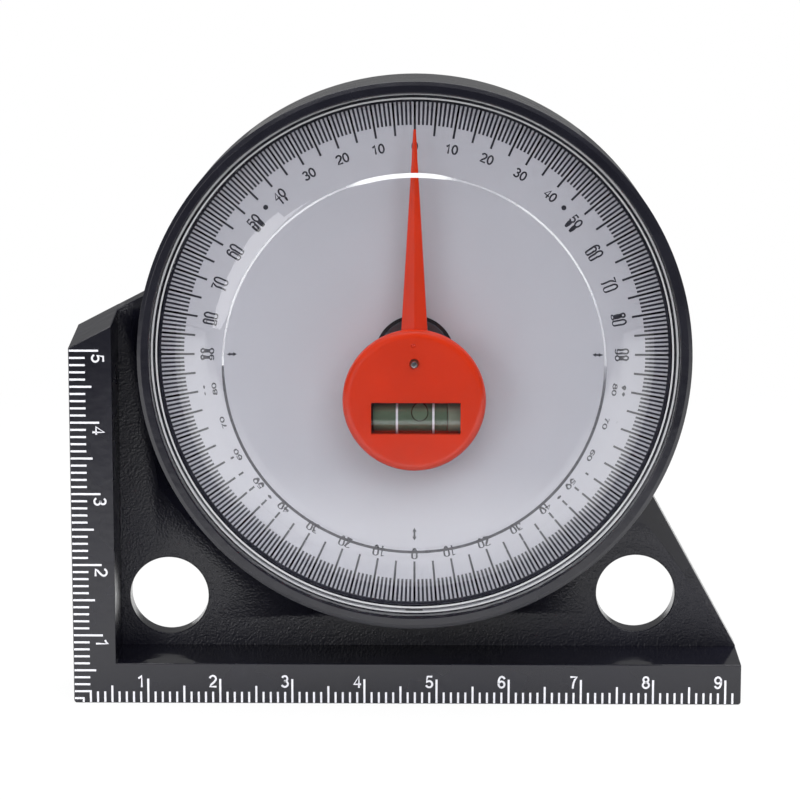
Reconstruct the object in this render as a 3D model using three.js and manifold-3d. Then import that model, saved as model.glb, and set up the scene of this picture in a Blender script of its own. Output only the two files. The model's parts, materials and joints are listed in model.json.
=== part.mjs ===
// Inclinometer: a weighted pointer with a spirit vial in its hub swings in front of a round dial.
// The moulded housing stands on a magnetic base and has a centimetre rule along two edges.
// Millimetres, X to the right, Y away from whoever reads the dial, Z up.
// The origin is under the middle of the whole object, on the surface that it stands on.
import * as THREE from "three";
import { mergeVertices } from "three/addons/utils/BufferGeometryUtils.js";
import Module from "manifold-3d";

const wasm = await Module();
wasm.setup();

// Base and side: x from the left edge, z from the underside, depth back from the ruled faces
const baseLength = 92.5;
const baseHeight = 5.7;
const sideWidth = 5.9;
const sideHeight = 50;
const sideTopRise = 0.95;
const sideTopSlope = 27.5;
const housingDepth = 14;
const outerCorner = 0.4;

// Web behind both rules, with a slanted right edge and two hanging holes
const webThickness = 3.7;
const slantLean = 28.8;
const holeRadius = 5.5;
const holeChamfer = 0.35;
const leftHoleInset = 12.6;
const leftHoleHeight = 12.8;
const rightHoleInset = 14.2;
const rightHoleHeight = 13.3;

// Drum
const pivotInset = 47.24;
const pivotHeight = 48.86;
const drumRadius = 37.75;
const drumBackRadius = 37.35;
const rimWall = 1.65;
const rimProud = 1.75;
const rimChamfer = 0.5;
const drumFloor = 2;
const dialSeat = 1.7;
const postRadius = 4.2;
const postSocketDepth = 6;

// Groove and magnets under the base
const grooveWidth = 6;
const grooveDepth = 3;
const magnetWidth = 2.6;
const magnetThickness = 1.5;
const magnetEndMargin = 4;
const magnetClearance = 0.1;

// Dial
const dialFront = 2.4;
const dialThickness = 0.8;
const dialClearance = 0.1;
const notchTip = 34;
const notchHalfAngle = 32;
const quadrants = 4;

// Collar at the middle of the dial
const collarRadius = 5.5;
const collarHeight = 1;
const collarChamfer = 0.5;
const collarShankRadius = 2.5;
const collarClearance = 0.1;

// Domed cover: a flange on the dial's margin, a cone, a bevel and a flat front
const lensFront = -6.5;
const lensWall = 1.1;
const flangeFront = 0.6;
const coneFootRadius = 34.7;
const bevelOuterRadius = 28.4;
const bevelInnerRadius = 25.7;
const bevelHeight = 0.6;
const lensClearance = 0.1;
const pinSocketDepth = 0.6;

// Pivot pin, bush and washer
const pinRadius = 0.475;
const pinTipClearance = 0.1;
const pinFit = 0.05;
const pinSeatDepth = 6.6;
const bushRadius = 1.1;
const bushFit = 0.05;
const bushEndClearance = 0.05;
const washerRadius = 1.6;
const washerThickness = 0.25;
const washerClearance = 0.05;

// Hub of the pointer, which narrows towards its back
const hubRadius = 9.75;
const hubBackRadius = 8.8;
const hubDrop = 5.2;
const hubFront = -4.9;
const hubBack = 1;
const hubWall = 0.9;
const hubFace = 0.75;
const hubFillet = 1;
const hubPinHole = 0.75;
const capThickness = 0.6;
const capLip = 0.35;
const capClearance = 0.1;
const bossWall = 0.8;
const shelfThickness = 0.7;

// Needle of the pointer
const needleLength = 31;
const needleBedding = 0.95;
const needleRootWidth = 3.6;
const needleTipWidth = 0.35;
const needleUnderside = -0.8;
const needleSideHeight = 1.8;
const needleRidgeHeight = 3.7;

// Vial in the window of the hub. Its axis is under the hub's centre, by a share of the room there
const vialSink = 0.346;
const vialRadius = 2.2;
const vialBore = 1.6;
const vialEndMargin = 0.3;
const windowLip = 0.45;
const windowHeight = 4.4;
const windowShift = 0.17;
const vialEndWall = 0.8;
const vialEndRound = 0.5;
const vialClearance = 0.1;
const liquidClearance = 0.05;
const plugLength = 2.1;
const plugHeadRadius = 1.9;
const plugHeadThickness = 0.4;
const bubbleRadius = 1.02;
const bubbleShift = 1.1;
const bubbleOverrun = 0.06;

// Counterweight under the vial
const weightClearance = 0.1;

// Cuts run past the faces that they open by this much
const overrun = 1;

// Flat faces for each full turn
const drumFacets = 96;
const hubFacets = 64;
const smallFacets = 32;
const arcSteps = 5;

// Vertices closer than this are one
const weldDistance = 1e-4;

const radians = THREE.MathUtils.degToRad;
const point = (x, y) => new THREE.Vector2(x, y);

// Places that follow from the sizes
const webFront = housingDepth - webThickness;
const rightHoleX = baseLength - rightHoleInset;
const boreRadius = drumRadius - rimWall;
const dialBack = dialFront + dialThickness;
const drumFloorFront = housingDepth - drumFloor;
const dialRadius = boreRadius - dialClearance;
const lensInner = lensFront + lensWall;
const collarFront = dialFront - collarHeight;
const collarEnd = dialBack + postSocketDepth - collarClearance;
const pinTip = lensInner - pinSocketDepth + pinTipClearance;
const pinEnd = collarFront + pinSeatDepth;
const hubFaceInner = hubFront + hubFace;
const hubShoulder = hubFront + hubFillet;
const hubHollow = hubRadius - hubWall;
const capFront = hubBack - capThickness;
const hubInnerBack = capFront - capClearance;
const vialDepth = hubFaceInner + liquidClearance + vialRadius;
const vialOffset = (hubHollow - vialRadius) * vialSink;
const vialDrop = hubDrop + vialOffset;
const vialRoom = hubRadiusAt(vialDepth + vialRadius / 2) - hubWall;
const vialRight = Math.sqrt(vialRoom ** 2 - (vialOffset + vialRadius) ** 2) - vialEndMargin;
const vialLeft = -vialRight;
const plugInner = vialRight - plugLength;
const bushFront = hubFaceInner + bushEndClearance;
const bushBack = capFront - bushEndClearance;

// Outside radius of the hub at a depth behind its rounded front edge
function hubRadiusAt(depth) {
  const share = Math.max(0, depth - hubShoulder) / (hubBack - hubShoulder);
  return THREE.MathUtils.lerp(hubRadius, hubBackRadius, share);
}

// A closed mesh as a solid that can be joined and cut
function solidOf(geometry) {
  const bare = geometry.index ? geometry.toNonIndexed() : geometry.clone();
  bare.deleteAttribute("normal");
  bare.deleteAttribute("uv");
  const merged = mergeVertices(bare, weldDistance);
  const vertProperties = merged.attributes.position.array;
  const triVerts = new Uint32Array(merged.index.array);
  return new wasm.Manifold(new wasm.Mesh({ numProp: 3, vertProperties, triVerts }));
}

// A solid as a geometry that a mesh can show
function geometryOf(solid) {
  const { vertProperties, triVerts } = solid.getMesh();
  const geometry = new THREE.BufferGeometry();
  geometry.setAttribute("position", new THREE.BufferAttribute(vertProperties, 3));
  geometry.setIndex(new THREE.BufferAttribute(triVerts, 1));
  geometry.computeVertexNormals();
  return geometry;
}

// Corner points of an arc, both ends included
function arc(centreX, centreY, radius, fromDegrees, toDegrees) {
  return Array.from({ length: arcSteps + 1 }, (_, step) => {
    const angle = radians(fromDegrees + ((toDegrees - fromDegrees) * step) / arcSteps);
    return point(centreX + radius * Math.cos(angle), centreY + radius * Math.sin(angle));
  });
}

// An outline in x and z, given a depth from front to back
function plate(shape, front, back) {
  const geometry = new THREE.ExtrudeGeometry(shape, { depth: back - front, bevelEnabled: false });
  geometry.rotateX(Math.PI / 2);
  geometry.translate(0, back, 0);
  return solidOf(geometry);
}

// An outline in depth and z, given a length from left to right
function bar(shape, left, right) {
  const geometry = new THREE.ExtrudeGeometry(shape, { depth: right - left, bevelEnabled: false });
  const depthAxis = new THREE.Vector3(0, 1, 0);
  const upAxis = new THREE.Vector3(0, 0, 1);
  const lengthAxis = new THREE.Vector3(1, 0, 0);
  geometry.applyMatrix4(new THREE.Matrix4().makeBasis(depthAxis, upAxis, lengthAxis));
  geometry.translate(left, 0, 0);
  return solidOf(geometry);
}

// A block between two corners
function block(left, right, front, back, bottom, top) {
  const geometry = new THREE.BoxGeometry(right - left, back - front, top - bottom);
  geometry.translate((left + right) / 2, (front + back) / 2, (bottom + top) / 2);
  return solidOf(geometry);
}

// A profile of radius and depth, turned about an axis that runs through the object's depth
function turnedGeometry(profile, facets) {
  const points = THREE.ShapeUtils.area(profile) < 0 ? [...profile].reverse() : profile;
  return new THREE.LatheGeometry(points, facets);
}

function turned(profile, facets, x = 0, z = 0) {
  return solidOf(turnedGeometry(profile, facets).translate(x, 0, z));
}

// A round rod between two depths
function rod(radius, front, back, facets, x = 0, z = 0) {
  const profile = [point(0, front), point(radius, front), point(radius, back), point(0, back)];
  return turned(profile, facets, x, z);
}

// A profile of radius and length, turned about an axis that runs from left to right
function turnedAlong(profile, facets, depth, height) {
  const geometry = turnedGeometry(profile, facets);
  geometry.rotateZ(-Math.PI / 2);
  geometry.translate(0, depth, height);
  return solidOf(geometry);
}

// Height of the sloped top over the left edge, some way to the right of it, at a depth
function topHeight(across, depth) {
  const slope = Math.tan(radians(sideTopSlope));
  return sideHeight + across * slope + (sideTopRise * depth) / housingDepth;
}

// L-shaped ruled edges with rounded lower corners
function ruledEdges() {
  const outline = new THREE.Shape([
    ...arc(outerCorner, outerCorner, outerCorner, 180, 270),
    ...arc(baseLength - outerCorner, outerCorner, outerCorner, 270, 360),
    point(baseLength, baseHeight),
    point(sideWidth, baseHeight),
    point(sideWidth, topHeight(sideWidth, housingDepth)),
    point(0, topHeight(0, housingDepth)),
  ]);
  return plate(outline, 0, housingDepth);
}

// Web from the two ruled edges up to the drum
function web() {
  const lean = Math.tan(radians(slantLean));
  const withinBore = boreRadius / 2;
  const topEnd = pivotInset - withinBore;
  const outline = new THREE.Shape([
    point(outerCorner, outerCorner),
    point(baseLength - outerCorner, outerCorner),
    point(baseLength, baseHeight),
    point(baseLength - (pivotHeight - baseHeight) * lean, pivotHeight),
    point(pivotInset, pivotHeight),
    point(pivotInset, pivotHeight + withinBore),
    point(topEnd, topHeight(topEnd, housingDepth)),
    point(outerCorner, topHeight(outerCorner, housingDepth)),
  ]);
  return plate(outline, webFront, housingDepth);
}

// The sloped top rises a little towards the back
function withSlopedTop(solid) {
  const down = new THREE.Vector3(topHeight(1, 0) - sideHeight, sideTopRise / housingDepth, -1);
  const size = down.length();
  return solid.trimByPlane(down.divideScalar(size).toArray(), -sideHeight / size);
}

function drumBody() {
  return turned(
    [
      point(0, -rimProud),
      point(drumRadius - rimChamfer, -rimProud),
      point(drumRadius, rimChamfer - rimProud),
      point(drumBackRadius, housingDepth),
      point(0, housingDepth),
    ],
    drumFacets,
    pivotInset,
    pivotHeight,
  );
}

// Room in the drum for the cover, the dial and the post at its middle
function drumHollow() {
  const cavityRadius = boreRadius - dialSeat;
  return turned(
    [
      point(0, -rimProud - overrun),
      point(boreRadius, -rimProud - overrun),
      point(boreRadius, dialBack),
      point(cavityRadius, dialBack),
      point(cavityRadius, drumFloorFront),
      point(postRadius, drumFloorFront),
      point(postRadius, dialBack),
      point(0, dialBack),
    ],
    drumFacets,
    pivotInset,
    pivotHeight,
  );
}

// Hanging hole with a small chamfer at both faces of the web
function hangingHole(x, z) {
  const mouth = holeRadius + holeChamfer + overrun;
  const profile = [
    point(0, webFront - overrun),
    point(mouth, webFront - overrun),
    point(holeRadius, webFront + holeChamfer),
    point(holeRadius, housingDepth - holeChamfer),
    point(mouth, housingDepth + overrun),
    point(0, housingDepth + overrun),
  ];
  return turned(profile, hubFacets, x, z);
}

function baseGroove() {
  const middle = housingDepth / 2;
  const reach = (grooveWidth / 2) * (1 + overrun / grooveDepth);
  const outline = new THREE.Shape([
    point(middle - reach, -overrun),
    point(middle + reach, -overrun),
    point(middle, grooveDepth),
  ]);
  return bar(outline, -overrun, baseLength + overrun);
}

// Depth of the middle of the front or rear magnet strip
function magnetDepth(isRear) {
  const land = (housingDepth - grooveWidth) / 2;
  return isRear ? housingDepth - land / 2 : land / 2;
}

function magnetPocket(isRear) {
  const middle = magnetDepth(isRear);
  const half = magnetWidth / 2 + magnetClearance;
  return block(
    magnetEndMargin - magnetClearance,
    baseLength - magnetEndMargin + magnetClearance,
    middle - half,
    middle + half,
    -overrun,
    magnetThickness + 2 * magnetClearance,
  );
}

function housingSolid() {
  const socketRadius = collarShankRadius + collarClearance;
  const socketEnd = dialBack + postSocketDepth;
  return withSlopedTop(ruledEdges().add(web()))
    .add(drumBody())
    .subtract(drumHollow())
    .subtract(rod(socketRadius, dialBack - overrun, socketEnd, smallFacets, pivotInset, pivotHeight))
    .subtract(hangingHole(leftHoleInset, leftHoleHeight))
    .subtract(hangingHole(rightHoleX, rightHoleHeight))
    .subtract(baseGroove())
    .subtract(magnetPocket(false))
    .subtract(magnetPocket(true));
}

function magnetSolid(isRear) {
  const middle = magnetDepth(isRear);
  return block(
    magnetEndMargin,
    baseLength - magnetEndMargin,
    middle - magnetWidth / 2,
    middle + magnetWidth / 2,
    magnetClearance,
    magnetClearance + magnetThickness,
  );
}

// From here on, x and z count from the pivot's axis

// Triangular notch at the dial's edge, with its tip towards the middle
function dialNotch(quadrant) {
  const reach = dialRadius + overrun - notchTip;
  const half = reach * Math.tan(radians(notchHalfAngle));
  const turn = (quadrant * Math.PI * 2) / quadrants;
  const corners = [point(notchTip, 0), point(notchTip + reach, -half), point(notchTip + reach, half)];
  const centre = point(0, 0);
  const outline = new THREE.Shape(corners.map((corner) => corner.rotateAround(centre, turn)));
  return plate(outline, dialFront - overrun, dialBack + overrun);
}

function dialSolid() {
  let dial = rod(dialRadius, dialFront, dialBack, drumFacets);
  const holeRadius = collarShankRadius + collarClearance;
  dial = dial.subtract(rod(holeRadius, dialFront - overrun, dialBack + overrun, smallFacets));
  for (let quadrant = 0; quadrant < quadrants; quadrant += 1) {
    dial = dial.subtract(dialNotch(quadrant));
  }
  return dial;
}

function collarSolid() {
  const pinBore = pinRadius + pinFit;
  return turned(
    [
      point(0, pinEnd + pinFit),
      point(pinBore, pinEnd + pinFit),
      point(pinBore, collarFront),
      point(collarRadius - collarChamfer, collarFront),
      point(collarRadius, collarFront + collarChamfer),
      point(collarRadius, dialFront),
      point(collarShankRadius, dialFront),
      point(collarShankRadius, collarEnd),
      point(0, collarEnd),
    ],
    smallFacets,
  );
}

function lensSolid() {
  const coneAngle = Math.atan2(
    flangeFront - lensFront - bevelHeight,
    coneFootRadius - bevelOuterRadius,
  );
  const outerCone = (depth) => coneFootRadius + (depth - flangeFront) / Math.tan(coneAngle);
  const innerCone = (depth) => outerCone(depth) - lensWall / Math.sin(coneAngle);
  const socketRadius = pinRadius + pinFit;
  return turned(
    [
      point(0, lensInner - pinSocketDepth),
      point(socketRadius, lensInner - pinSocketDepth),
      point(socketRadius, lensInner),
      point(innerCone(lensInner), lensInner),
      point(innerCone(dialFront), dialFront),
      point(boreRadius - lensClearance, dialFront),
      point(boreRadius - lensClearance, flangeFront),
      point(coneFootRadius, flangeFront),
      point(bevelOuterRadius, lensFront + bevelHeight),
      point(bevelInnerRadius, lensFront),
      point(0, lensFront),
    ],
    drumFacets,
  );
}

function pinSolid() {
  return rod(pinRadius, pinTip, pinEnd, smallFacets);
}

function washerSolid() {
  const back = collarFront - washerClearance;
  const bore = pinRadius + pinFit;
  const front = back - washerThickness;
  const profile = [
    point(bore, front),
    point(washerRadius, front),
    point(washerRadius, back),
    point(bore, back),
    point(bore, front),
  ];
  return turned(profile, smallFacets);
}

// Needle with a ridge, drawn from its root in the hub's wall to its tip
function needle() {
  const root = hubRadius - hubDrop - needleBedding;
  const length = needleLength - root;
  const half = needleRootWidth / 2;
  const section = new THREE.Shape([
    point(-half, needleUnderside),
    point(-half, needleUnderside - needleSideHeight),
    point(0, needleUnderside - needleRidgeHeight),
    point(half, needleUnderside - needleSideHeight),
    point(half, needleUnderside),
  ]);
  const geometry = new THREE.ExtrudeGeometry(section, { depth: length, bevelEnabled: false });
  const position = geometry.attributes.position;
  for (let index = 0; index < position.count; index += 1) {
    const taper = THREE.MathUtils.lerp(1, needleTipWidth / needleRootWidth, position.getZ(index) / length);
    position.setX(index, position.getX(index) * taper);
    position.setY(index, needleUnderside + (position.getY(index) - needleUnderside) * taper);
  }
  return solidOf(geometry.translate(0, 0, root));
}

// Shell of the hub, open at the back, where a lip seats the cap
function hubShell() {
  const outside = [
    point(0, hubFront),
    ...arc(hubRadius - hubFillet, hubFront + hubFillet, hubFillet, 270, 360),
    point(hubBackRadius, hubBack),
    point(0, hubBack),
  ];
  const capSeat = hubRadiusAt(capFront) - hubWall;
  const inside = [
    point(0, hubFaceInner),
    point(hubHollow, hubFaceInner),
    point(hubHollow, hubShoulder),
    point(capSeat, capFront),
    point(capSeat + capLip, capFront),
    point(capSeat + capLip, hubBack + overrun),
    point(0, hubBack + overrun),
  ];
  return turned(outside, hubFacets, 0, -hubDrop).subtract(turned(inside, hubFacets, 0, -hubDrop));
}

// The hub's inside without its cap, grown or shrunk by a margin
function hubRoom(front, margin) {
  const radiusAt = (depth) => hubRadiusAt(depth) - hubWall + margin;
  return turned(
    [
      point(0, front),
      point(radiusAt(front), front),
      point(radiusAt(hubShoulder), hubShoulder),
      point(radiusAt(hubInnerBack), hubInnerBack),
      point(0, hubInnerBack),
    ],
    hubFacets,
    0,
    -hubDrop,
  );
}

// Two shelves that hold the vial, above it and below it
function vialShelves() {
  const near = vialRadius + vialClearance;
  const far = near + shelfThickness;
  const front = hubFaceInner - hubFace / 2;
  const upper = block(-hubRadius, hubRadius, front, hubInnerBack, near - vialDrop, far - vialDrop);
  const lower = block(-hubRadius, hubRadius, front, hubInnerBack, -far - vialDrop, -near - vialDrop);
  return upper.add(lower).intersect(hubRoom(front, hubWall / 2));
}

function pointerSolid() {
  const window = block(
    windowShift + vialLeft + windowLip,
    windowShift + vialRight - windowLip,
    hubFront - overrun,
    hubFaceInner + liquidClearance,
    -vialDrop - windowHeight / 2,
    -vialDrop + windowHeight / 2,
  );
  const bushBore = bushRadius + bushFit;
  return hubShell()
    .add(needle())
    .add(vialShelves())
    .add(rod(bushBore + bossWall, hubFaceInner - hubFace / 2, hubInnerBack, smallFacets))
    .subtract(rod(bushBore, hubFaceInner, hubBack, smallFacets))
    .subtract(rod(hubPinHole, hubFront - overrun, hubBack, smallFacets))
    .subtract(window);
}

function capSolid() {
  const radius = hubRadiusAt(capFront) - hubWall + capLip - capClearance;
  const disc = rod(radius, capFront, hubBack, hubFacets, 0, -hubDrop);
  return disc.subtract(rod(hubPinHole, capFront - overrun, hubBack + overrun, smallFacets));
}

function bushSolid() {
  const bore = pinRadius + pinFit;
  const profile = [
    point(bore, bushFront),
    point(bushRadius, bushFront),
    point(bushRadius, bushBack),
    point(bore, bushBack),
    point(bore, bushFront),
  ];
  return turned(profile, smallFacets);
}

// Segment of a disc that fills the hub under the lower shelf
function weightSolid() {
  const top = -vialDrop - vialRadius - vialClearance - shelfThickness - weightClearance;
  const front = hubFaceInner + weightClearance;
  const slug = hubRoom(front, -weightClearance);
  const above = block(
    -hubRadius,
    hubRadius,
    front - overrun,
    hubInnerBack + overrun,
    top,
    hubRadius,
  );
  return slug.subtract(above);
}

function tubeSolid() {
  return turnedAlong(
    [
      point(0, vialLeft),
      point(vialRadius - vialEndRound, vialLeft),
      point(vialRadius, vialLeft + vialEndRound),
      point(vialRadius, vialRight),
      point(vialBore, vialRight),
      point(vialBore, vialLeft + vialEndWall),
      point(0, vialLeft + vialEndWall),
    ],
    smallFacets,
    vialDepth,
    -vialDrop,
  );
}

function plugSolid() {
  const radius = vialBore - liquidClearance;
  const headFront = vialRight + liquidClearance;
  return turnedAlong(
    [
      point(0, plugInner),
      point(radius, plugInner),
      point(radius, headFront),
      point(plugHeadRadius, headFront),
      point(plugHeadRadius, headFront + plugHeadThickness),
      point(0, headFront + plugHeadThickness),
    ],
    smallFacets,
    vialDepth,
    -vialDrop,
  );
}

// The liquid, with the bubble as a hollow that touches the top of the bore
function liquidSolid() {
  const radius = vialBore - liquidClearance;
  const left = vialLeft + vialEndWall + liquidClearance;
  const right = plugInner - liquidClearance;
  const profile = [point(0, left), point(radius, left), point(radius, right), point(0, right)];
  const bubble = new THREE.SphereGeometry(bubbleRadius, smallFacets, smallFacets / 2);
  bubble.translate(bubbleShift, vialDepth, radius - bubbleRadius + bubbleOverrun - vialDrop);
  return turnedAlong(profile, smallFacets, vialDepth, -vialDrop).subtract(solidOf(bubble));
}

const finishes = {
  blackPlastic: { color: 0x2a2a2f, roughness: 0.45, metalness: 0 },
  whitePlastic: { color: 0xe8e8ee, roughness: 0.5, metalness: 0 },
  clearPlastic: { color: 0xf4f6f8, roughness: 0.05, metalness: 0, transparent: true, opacity: 0.3 },
  orangePlastic: { color: 0xd8431c, roughness: 0.3, metalness: 0 },
  steel: { color: 0xb8babd, roughness: 0.25, metalness: 1 },
  brass: { color: 0xc9a24a, roughness: 0.3, metalness: 1 },
  nylon: { color: 0xeae6da, roughness: 0.5, metalness: 0 },
  greenLiquid: { color: 0x5fae7a, roughness: 0.05, metalness: 0, transparent: true, opacity: 0.8 },
  magnetRubber: { color: 0x3a302b, roughness: 0.8, metalness: 0 },
};

function piece(name, solid, finish) {
  const mesh = new THREE.Mesh(geometryOf(solid), new THREE.MeshStandardMaterial(finish));
  mesh.name = name;
  return mesh;
}

// The housing's own corner is at the left end of the underside, level with the ruled faces
const inclinometer = new THREE.Group();
inclinometer.position.set(-baseLength / 2, -(lensFront + housingDepth) / 2, 0);
inclinometer.add(
  piece("housing", housingSolid(), finishes.blackPlastic),
  piece("magnet_strip_front", magnetSolid(false), finishes.magnetRubber),
  piece("magnet_strip_rear", magnetSolid(true), finishes.magnetRubber),
);

const dialGroup = new THREE.Group();
dialGroup.position.set(pivotInset, 0, pivotHeight);
dialGroup.add(
  piece("dial_plate", dialSolid(), finishes.whitePlastic),
  piece("dial_collar", collarSolid(), finishes.blackPlastic),
  piece("pivot_pin", pinSolid(), finishes.steel),
  piece("spacer_washer", washerSolid(), finishes.nylon),
  piece("lens_cover", lensSolid(), finishes.clearPlastic),
);
inclinometer.add(dialGroup);

const pointerGroup = new THREE.Group();
pointerGroup.add(
  piece("pointer", pointerSolid(), finishes.orangePlastic),
  piece("hub_back_cap", capSolid(), finishes.orangePlastic),
  piece("pivot_bush", bushSolid(), finishes.brass),
  piece("counterweight", weightSolid(), finishes.steel),
  piece("vial_tube", tubeSolid(), finishes.clearPlastic),
  piece("vial_liquid", liquidSolid(), finishes.greenLiquid),
  piece("vial_plug", plugSolid(), finishes.nylon),
);
dialGroup.add(pointerGroup);

export default inclinometer;
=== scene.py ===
"""Inclinometer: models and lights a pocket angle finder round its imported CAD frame."""

import json
import math

import bpy
from bpy.props import FloatProperty, FloatVectorProperty, IntProperty, PointerProperty
from bpy.types import Operator, Panel, PropertyGroup
from mathutils import Euler, Matrix, Vector


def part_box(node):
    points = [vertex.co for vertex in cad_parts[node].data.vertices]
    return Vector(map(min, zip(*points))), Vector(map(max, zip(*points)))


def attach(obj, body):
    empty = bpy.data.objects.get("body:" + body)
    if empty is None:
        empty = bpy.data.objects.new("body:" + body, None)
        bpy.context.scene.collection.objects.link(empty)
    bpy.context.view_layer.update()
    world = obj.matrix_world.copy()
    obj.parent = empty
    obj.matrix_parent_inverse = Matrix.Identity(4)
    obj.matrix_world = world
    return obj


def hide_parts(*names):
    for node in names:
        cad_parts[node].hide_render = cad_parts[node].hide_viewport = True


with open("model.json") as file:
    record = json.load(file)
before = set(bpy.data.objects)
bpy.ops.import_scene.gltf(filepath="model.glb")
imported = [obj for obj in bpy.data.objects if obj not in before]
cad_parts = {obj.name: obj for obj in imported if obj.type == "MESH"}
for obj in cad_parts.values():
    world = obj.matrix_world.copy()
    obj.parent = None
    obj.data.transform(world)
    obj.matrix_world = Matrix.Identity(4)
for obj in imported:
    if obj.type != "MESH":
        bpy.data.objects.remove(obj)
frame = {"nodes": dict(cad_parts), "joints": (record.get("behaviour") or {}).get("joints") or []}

bl_info = {
    "name": "Inclinometer",
    "version": (1, 0, 0),
    "blender": (4, 5, 0),
    "location": "3D View > Sidebar > Inclinometer",
    "description": "Models an inclinometer with its rules, dial, pointer, vial and clear cover",
    "category": "Object",
}

MM = 0.001
MICRON = 0.000001
FULL_TURN = math.tau
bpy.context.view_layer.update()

HOUSING_LOW, HOUSING_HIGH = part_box("housing")
PIVOT = Vector(frame["joints"][0]["pos_m"])


# Settings


def linear(code):
    """An sRGB hex colour as linear red, green, blue and alpha."""
    channels = [int(code[i : i + 2], 16) / 255 for i in (1, 3, 5)]
    curve = [c / 12.92 if c <= 0.04045 else ((c + 0.055) / 1.055) ** 2.4 for c in channels]
    return (*curve, 1.0)


def size(name, description, millimetres):
    return FloatProperty(
        name=name, description=description, default=millimetres * MM, unit="LENGTH", precision=5
    )


def angle(name, description, degrees):
    return FloatProperty(
        name=name, description=description, default=math.radians(degrees), subtype="ANGLE"
    )


def colour(name, description, code):
    return FloatVectorProperty(
        name=name, description=description, default=linear(code), size=4, min=0, max=1, subtype="COLOR"
    )


class HousingSettings(PropertyGroup):
    base_height: size("Base height", "Height of the ruled base", 5.7)
    side_width: size("Side width", "Width of the ruled left edge", 5.9)
    side_height: size("Side height", "Height of the left edge at its outer side, in front", 50)
    side_rise: size("Side rise", "How much higher the left edge's top is at the back", 0.95)
    side_slope: angle("Side slope", "Rise of the left edge's top towards the drum", 27.5)
    depth: size("Depth", "Depth of both ruled edges", 14)
    web_thickness: size("Web thickness", "Thickness of the web behind the rules", 3.7)
    slant_lean: angle("Slant", "Lean of the web's right edge", 28.8)
    hole_radius: size("Hole radius", "Radius of both hanging holes", 5.5)
    left_hole_inset: size("Left hole inset", "From the left edge to the left hole", 12.6)
    left_hole_height: size("Left hole height", "From the underside to the left hole", 12.8)
    right_hole_inset: size("Right hole inset", "From the right end to the right hole", 14.2)
    right_hole_height: size("Right hole height", "From the underside to the right hole", 13.3)
    drum_radius: size("Drum radius", "Outer radius of the drum in front", 37.75)
    drum_back: size("Drum back radius", "Outer radius of the drum at the back", 37.35)
    rim_wall: size("Rim wall", "Wall of the drum round the cover", 1.65)
    rim_proud: size("Rim proud", "How far the rim stands in front of the ruled faces", 1.75)
    rim_chamfer: size("Rim chamfer", "Width of the chamfer on the rim's outer edge", 0.55)
    chamfer_depth: size("Chamfer depth", "Depth of the chamfer on the rim's outer edge", 0.4)
    edge_round: size("Edge rounding", "Rounding of the moulding's long edges", 0.15)
    corner_round: size("Corner rounding", "Rounding of the lower corners, seen from the front", 0.4)
    plastic: colour("Plastic", "Black moulded plastic", "#11111A")
    ink: colour("Ink", "White print of both rules", "#DADAE0")


class RuleSettings(PropertyGroup):
    stroke: size("Stroke", "Width of a printed line", 0.28)
    short: size("Millimetre line", "Length of a millimetre line on the base", 1.65)
    middle: size("Half line", "Length of a 5 mm line on the base", 2.5)
    long: size("Centimetre line", "Length of a centimetre line on the base", 3.5)
    side_extra: size("Side extra", "How much longer the lines of the left rule are", 0.63)
    base_shift: size("Base shift", "How far the base's print is set to the right", 0.33)
    side_shift: size("Side shift", "How far the left rule's print is set down", 0.33)
    figure: size("Figure height", "Height of the rules' figures", 1.77)


class DialSettings(PropertyGroup):
    front: size("Front", "From the ruled faces to the dial's face", 2.4)
    thickness: size("Thickness", "Thickness of the dial's sheet", 0.8)
    radius: size("Radius", "Radius of the dial", 36)
    notch_tip: size("Notch tip", "From the centre to the tip of each notch", 34)
    notch_angle: angle("Notch angle", "Half of the angle of each notch", 32)
    mark_outer: size("Mark outer", "Outer end of the degree lines, where the dark border starts", 34.45)
    mark_inner: size("Mark inner", "Inner end of the one-degree lines", 31.25)
    mark_long: size("Long mark inner", "Inner end of the five-degree lines", 29.83)
    stroke: size("Stroke", "Width of a degree line", 0.29)
    figures: size("Figures", "Radius of the ring of figures", 28.37)
    figure: size("Figure height", "Height of the dial's figures", 1.3)
    arrow_inner: size("Arrow inner", "Inner tip of the double arrows", 24.3)
    arrow_outer: size("Arrow outer", "Outer tip of the double arrows", 26.1)
    collar_radius: size("Collar radius", "Radius of the black collar", 5.42)
    sheet: colour("Sheet", "White dial sheet", "#BEBDC3")
    ink: colour("Ink", "Dark print of the dial", "#22222C")
    collar: colour("Collar", "Black collar", "#17171A")


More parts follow.
